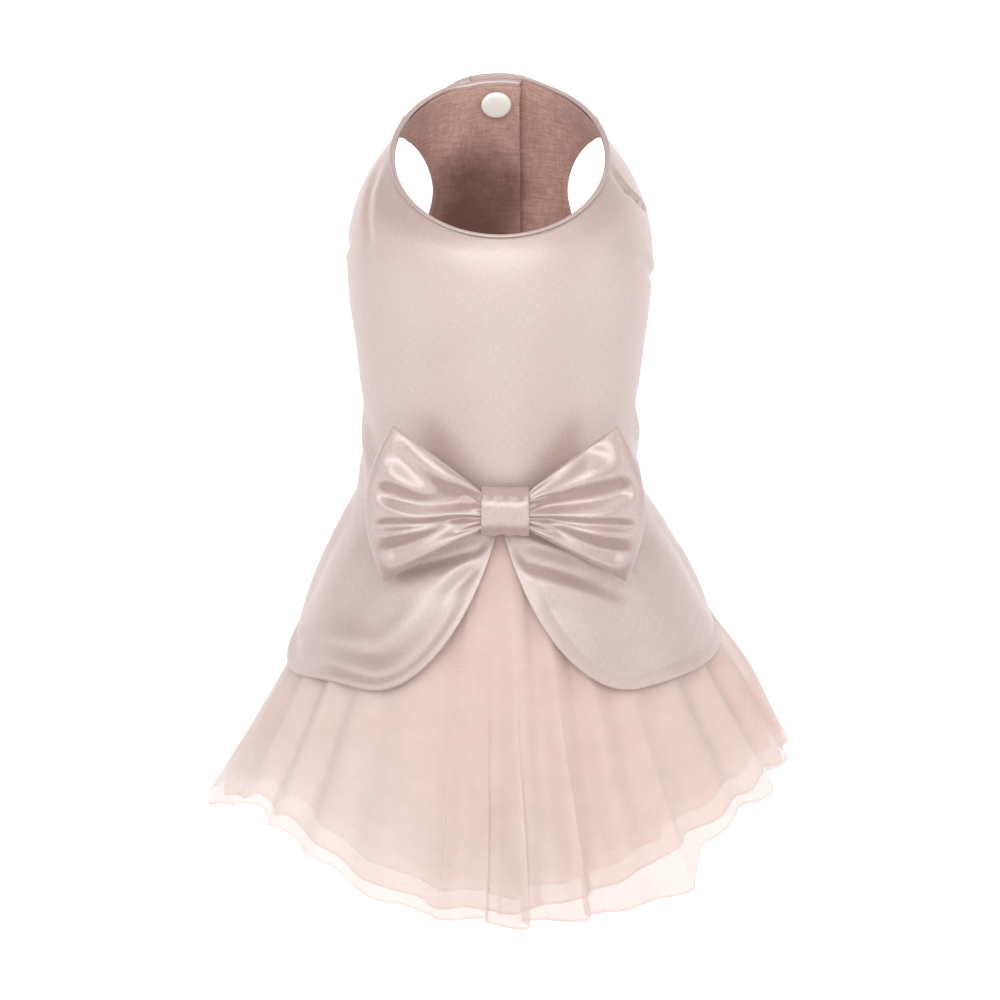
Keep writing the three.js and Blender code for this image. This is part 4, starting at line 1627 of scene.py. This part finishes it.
    def add_bow(self) -> None:
        """The loops and the knot."""
        for node, grids, cut, area in (
            ("bow_loops", self.bow.loops(), (0.226, 0.066), 0.0122),
            ("bow_knot", self.bow.knot(), (0.064, 0.02), 0.00125),
        ):
            outer, inner, flat = grids
            cloth = ClothMesh(node + "_satin")
            cloth.add_grid(outer, flat, turned=node == "bow_knot")
            cloth.add_grid(inner, flat, turned=node != "bow_knot")
            # The bow takes the satin with painted shade in its colours
            piece = cloth.finish(self.shaded_satin, merge=0.02)
            self.place(piece, "satin", (node,))

    def build(self) -> None:
        """Make every piece."""
        self.add_bodice()
        self.add_stitches()
        self.add_snaps()
        self.add_peplum()
        self.add_tulle()
        self.add_bow()


# The studio


@dataclass(frozen=True)
class SoftBox:
    """A light that faces the dress: its place and size in metres and its power in watts."""

    name: str
    place: tuple[float, float, float]
    wide: float
    high: float
    power: float


SOFT_BOXES = (
    SoftBox("key", (-0.15, -1.6, 0.9), 2.4, 1.3, 26.5),
    SoftBox("low", (0.0, -1.9, -0.05), 1.8, 0.7, 2.0),
    SoftBox("left", (-1.7, -0.7, 0.5), 1.2, 1.6, 6.2),
    SoftBox("right", (1.7, -0.7, 0.5), 1.2, 1.6, 7.4),
    SoftBox("top", (0.25, -0.25, 1.4), 0.9, 0.9, 4.3),
)


@dataclass
class Photograph:
    """The camera, at the photograph's angle, and soft studio light."""

    elevation: float = 15.0
    distance: float = 1.3
    target: tuple[float, float, float] = (0.0, 0.0, -0.142)
    focal_pixels: float = 3158.0
    frame_pixels: float = 1000.0
    sensor: float = 36.0
    white: tuple[float, float, float] = (1.0, 0.99, 0.98)
    surroundings: float = 0.15
    floor_z: float = -0.42
    floor_front: float = -14.0
    half_width: float = 14.0
    wall_y: float = 2.2
    wall_height: float = 3.2
    bend: float = 0.8

    def add_camera(self) -> None:
        """Place the camera."""
        data = bpy.data.cameras.new("camera")
        data.sensor_width = self.sensor
        data.sensor_fit = "HORIZONTAL"
        data.lens = self.focal_pixels * self.sensor / self.frame_pixels
        data.clip_start = 0.05
        data.clip_end = 20.0
        camera = bpy.data.objects.new("camera", data)
        bpy.context.scene.collection.objects.link(camera)
        tilt = math.radians(self.elevation)
        aim = Vector((0.0, math.cos(tilt), -math.sin(tilt)))
        camera.location = Vector(self.target) - aim * self.distance
        camera.rotation_euler = aim.to_track_quat("-Z", "Y").to_euler()
        bpy.context.scene.camera = camera

    def add_light(self, box: SoftBox) -> None:
        """Add a soft box."""
        data = bpy.data.lights.new(box.name, "AREA")
        data.shape = "RECTANGLE"
        data.size, data.size_y = box.wide, box.high
        data.energy = box.power
        data.color = self.white
        light = bpy.data.objects.new(box.name, data)
        bpy.context.scene.collection.objects.link(light)
        light.location = box.place
        light.rotation_euler = (Vector(self.target) - light.location).to_track_quat("-Z", "Y").to_euler()

    def add_backdrop(self) -> None:
        """A pale sweep: floor, curve and wall in one sheet."""
        work = bmesh.new()
        middle_y, middle_z = self.wall_y - self.bend, self.floor_z + self.bend
        turns = (math.pi / 2 * k / 12 for k in range(13))
        curve = [(middle_y + self.bend * math.sin(t), middle_z - self.bend * math.cos(t)) for t in turns]
        path = [(self.floor_front, self.floor_z), *curve, (self.wall_y, self.floor_z + self.wall_height)]
        verts = [work.verts.new((-self.half_width, y, z)) for y, z in path]
        edges = [work.edges.new(pair) for pair in zip(verts, verts[1:])]
        made = bmesh.ops.extrude_edge_only(work, edges=edges)
        moved = [item for item in made["geom"] if isinstance(item, bmesh.types.BMVert)]
        bmesh.ops.translate(work, verts=moved, vec=(2 * self.half_width, 0, 0))
        bmesh.ops.recalc_face_normals(work, faces=work.faces)
        as_object(work, "backdrop", Studio().make())

    def add_world(self) -> None:
        """Even white surroundings."""
        world = bpy.data.worlds.new("studio")
        world.use_nodes = True
        background = world.node_tree.nodes["Background"]
        background.inputs[0].default_value = (1.0, 1.0, 1.0, 1.0)
        background.inputs[1].default_value = self.surroundings
        bpy.context.scene.world = world

    def build(self) -> None:
        """Set the whole studio up."""
        self.add_camera()
        self.add_backdrop()
        self.add_world()
        for box in SOFT_BOXES:
            self.add_light(box)
        view = bpy.context.scene.view_settings
        view.view_transform = "Standard"
        view.look = "None"
        bpy.context.scene.cycles.transparent_max_bounces = 32


def main() -> None:
    """Build the dress and the studio."""
    logging.basicConfig(level=logging.INFO, format="%(name)s %(message)s")
    Photograph().build()
    Dress().build()


if __name__ == "__main__":
    main()
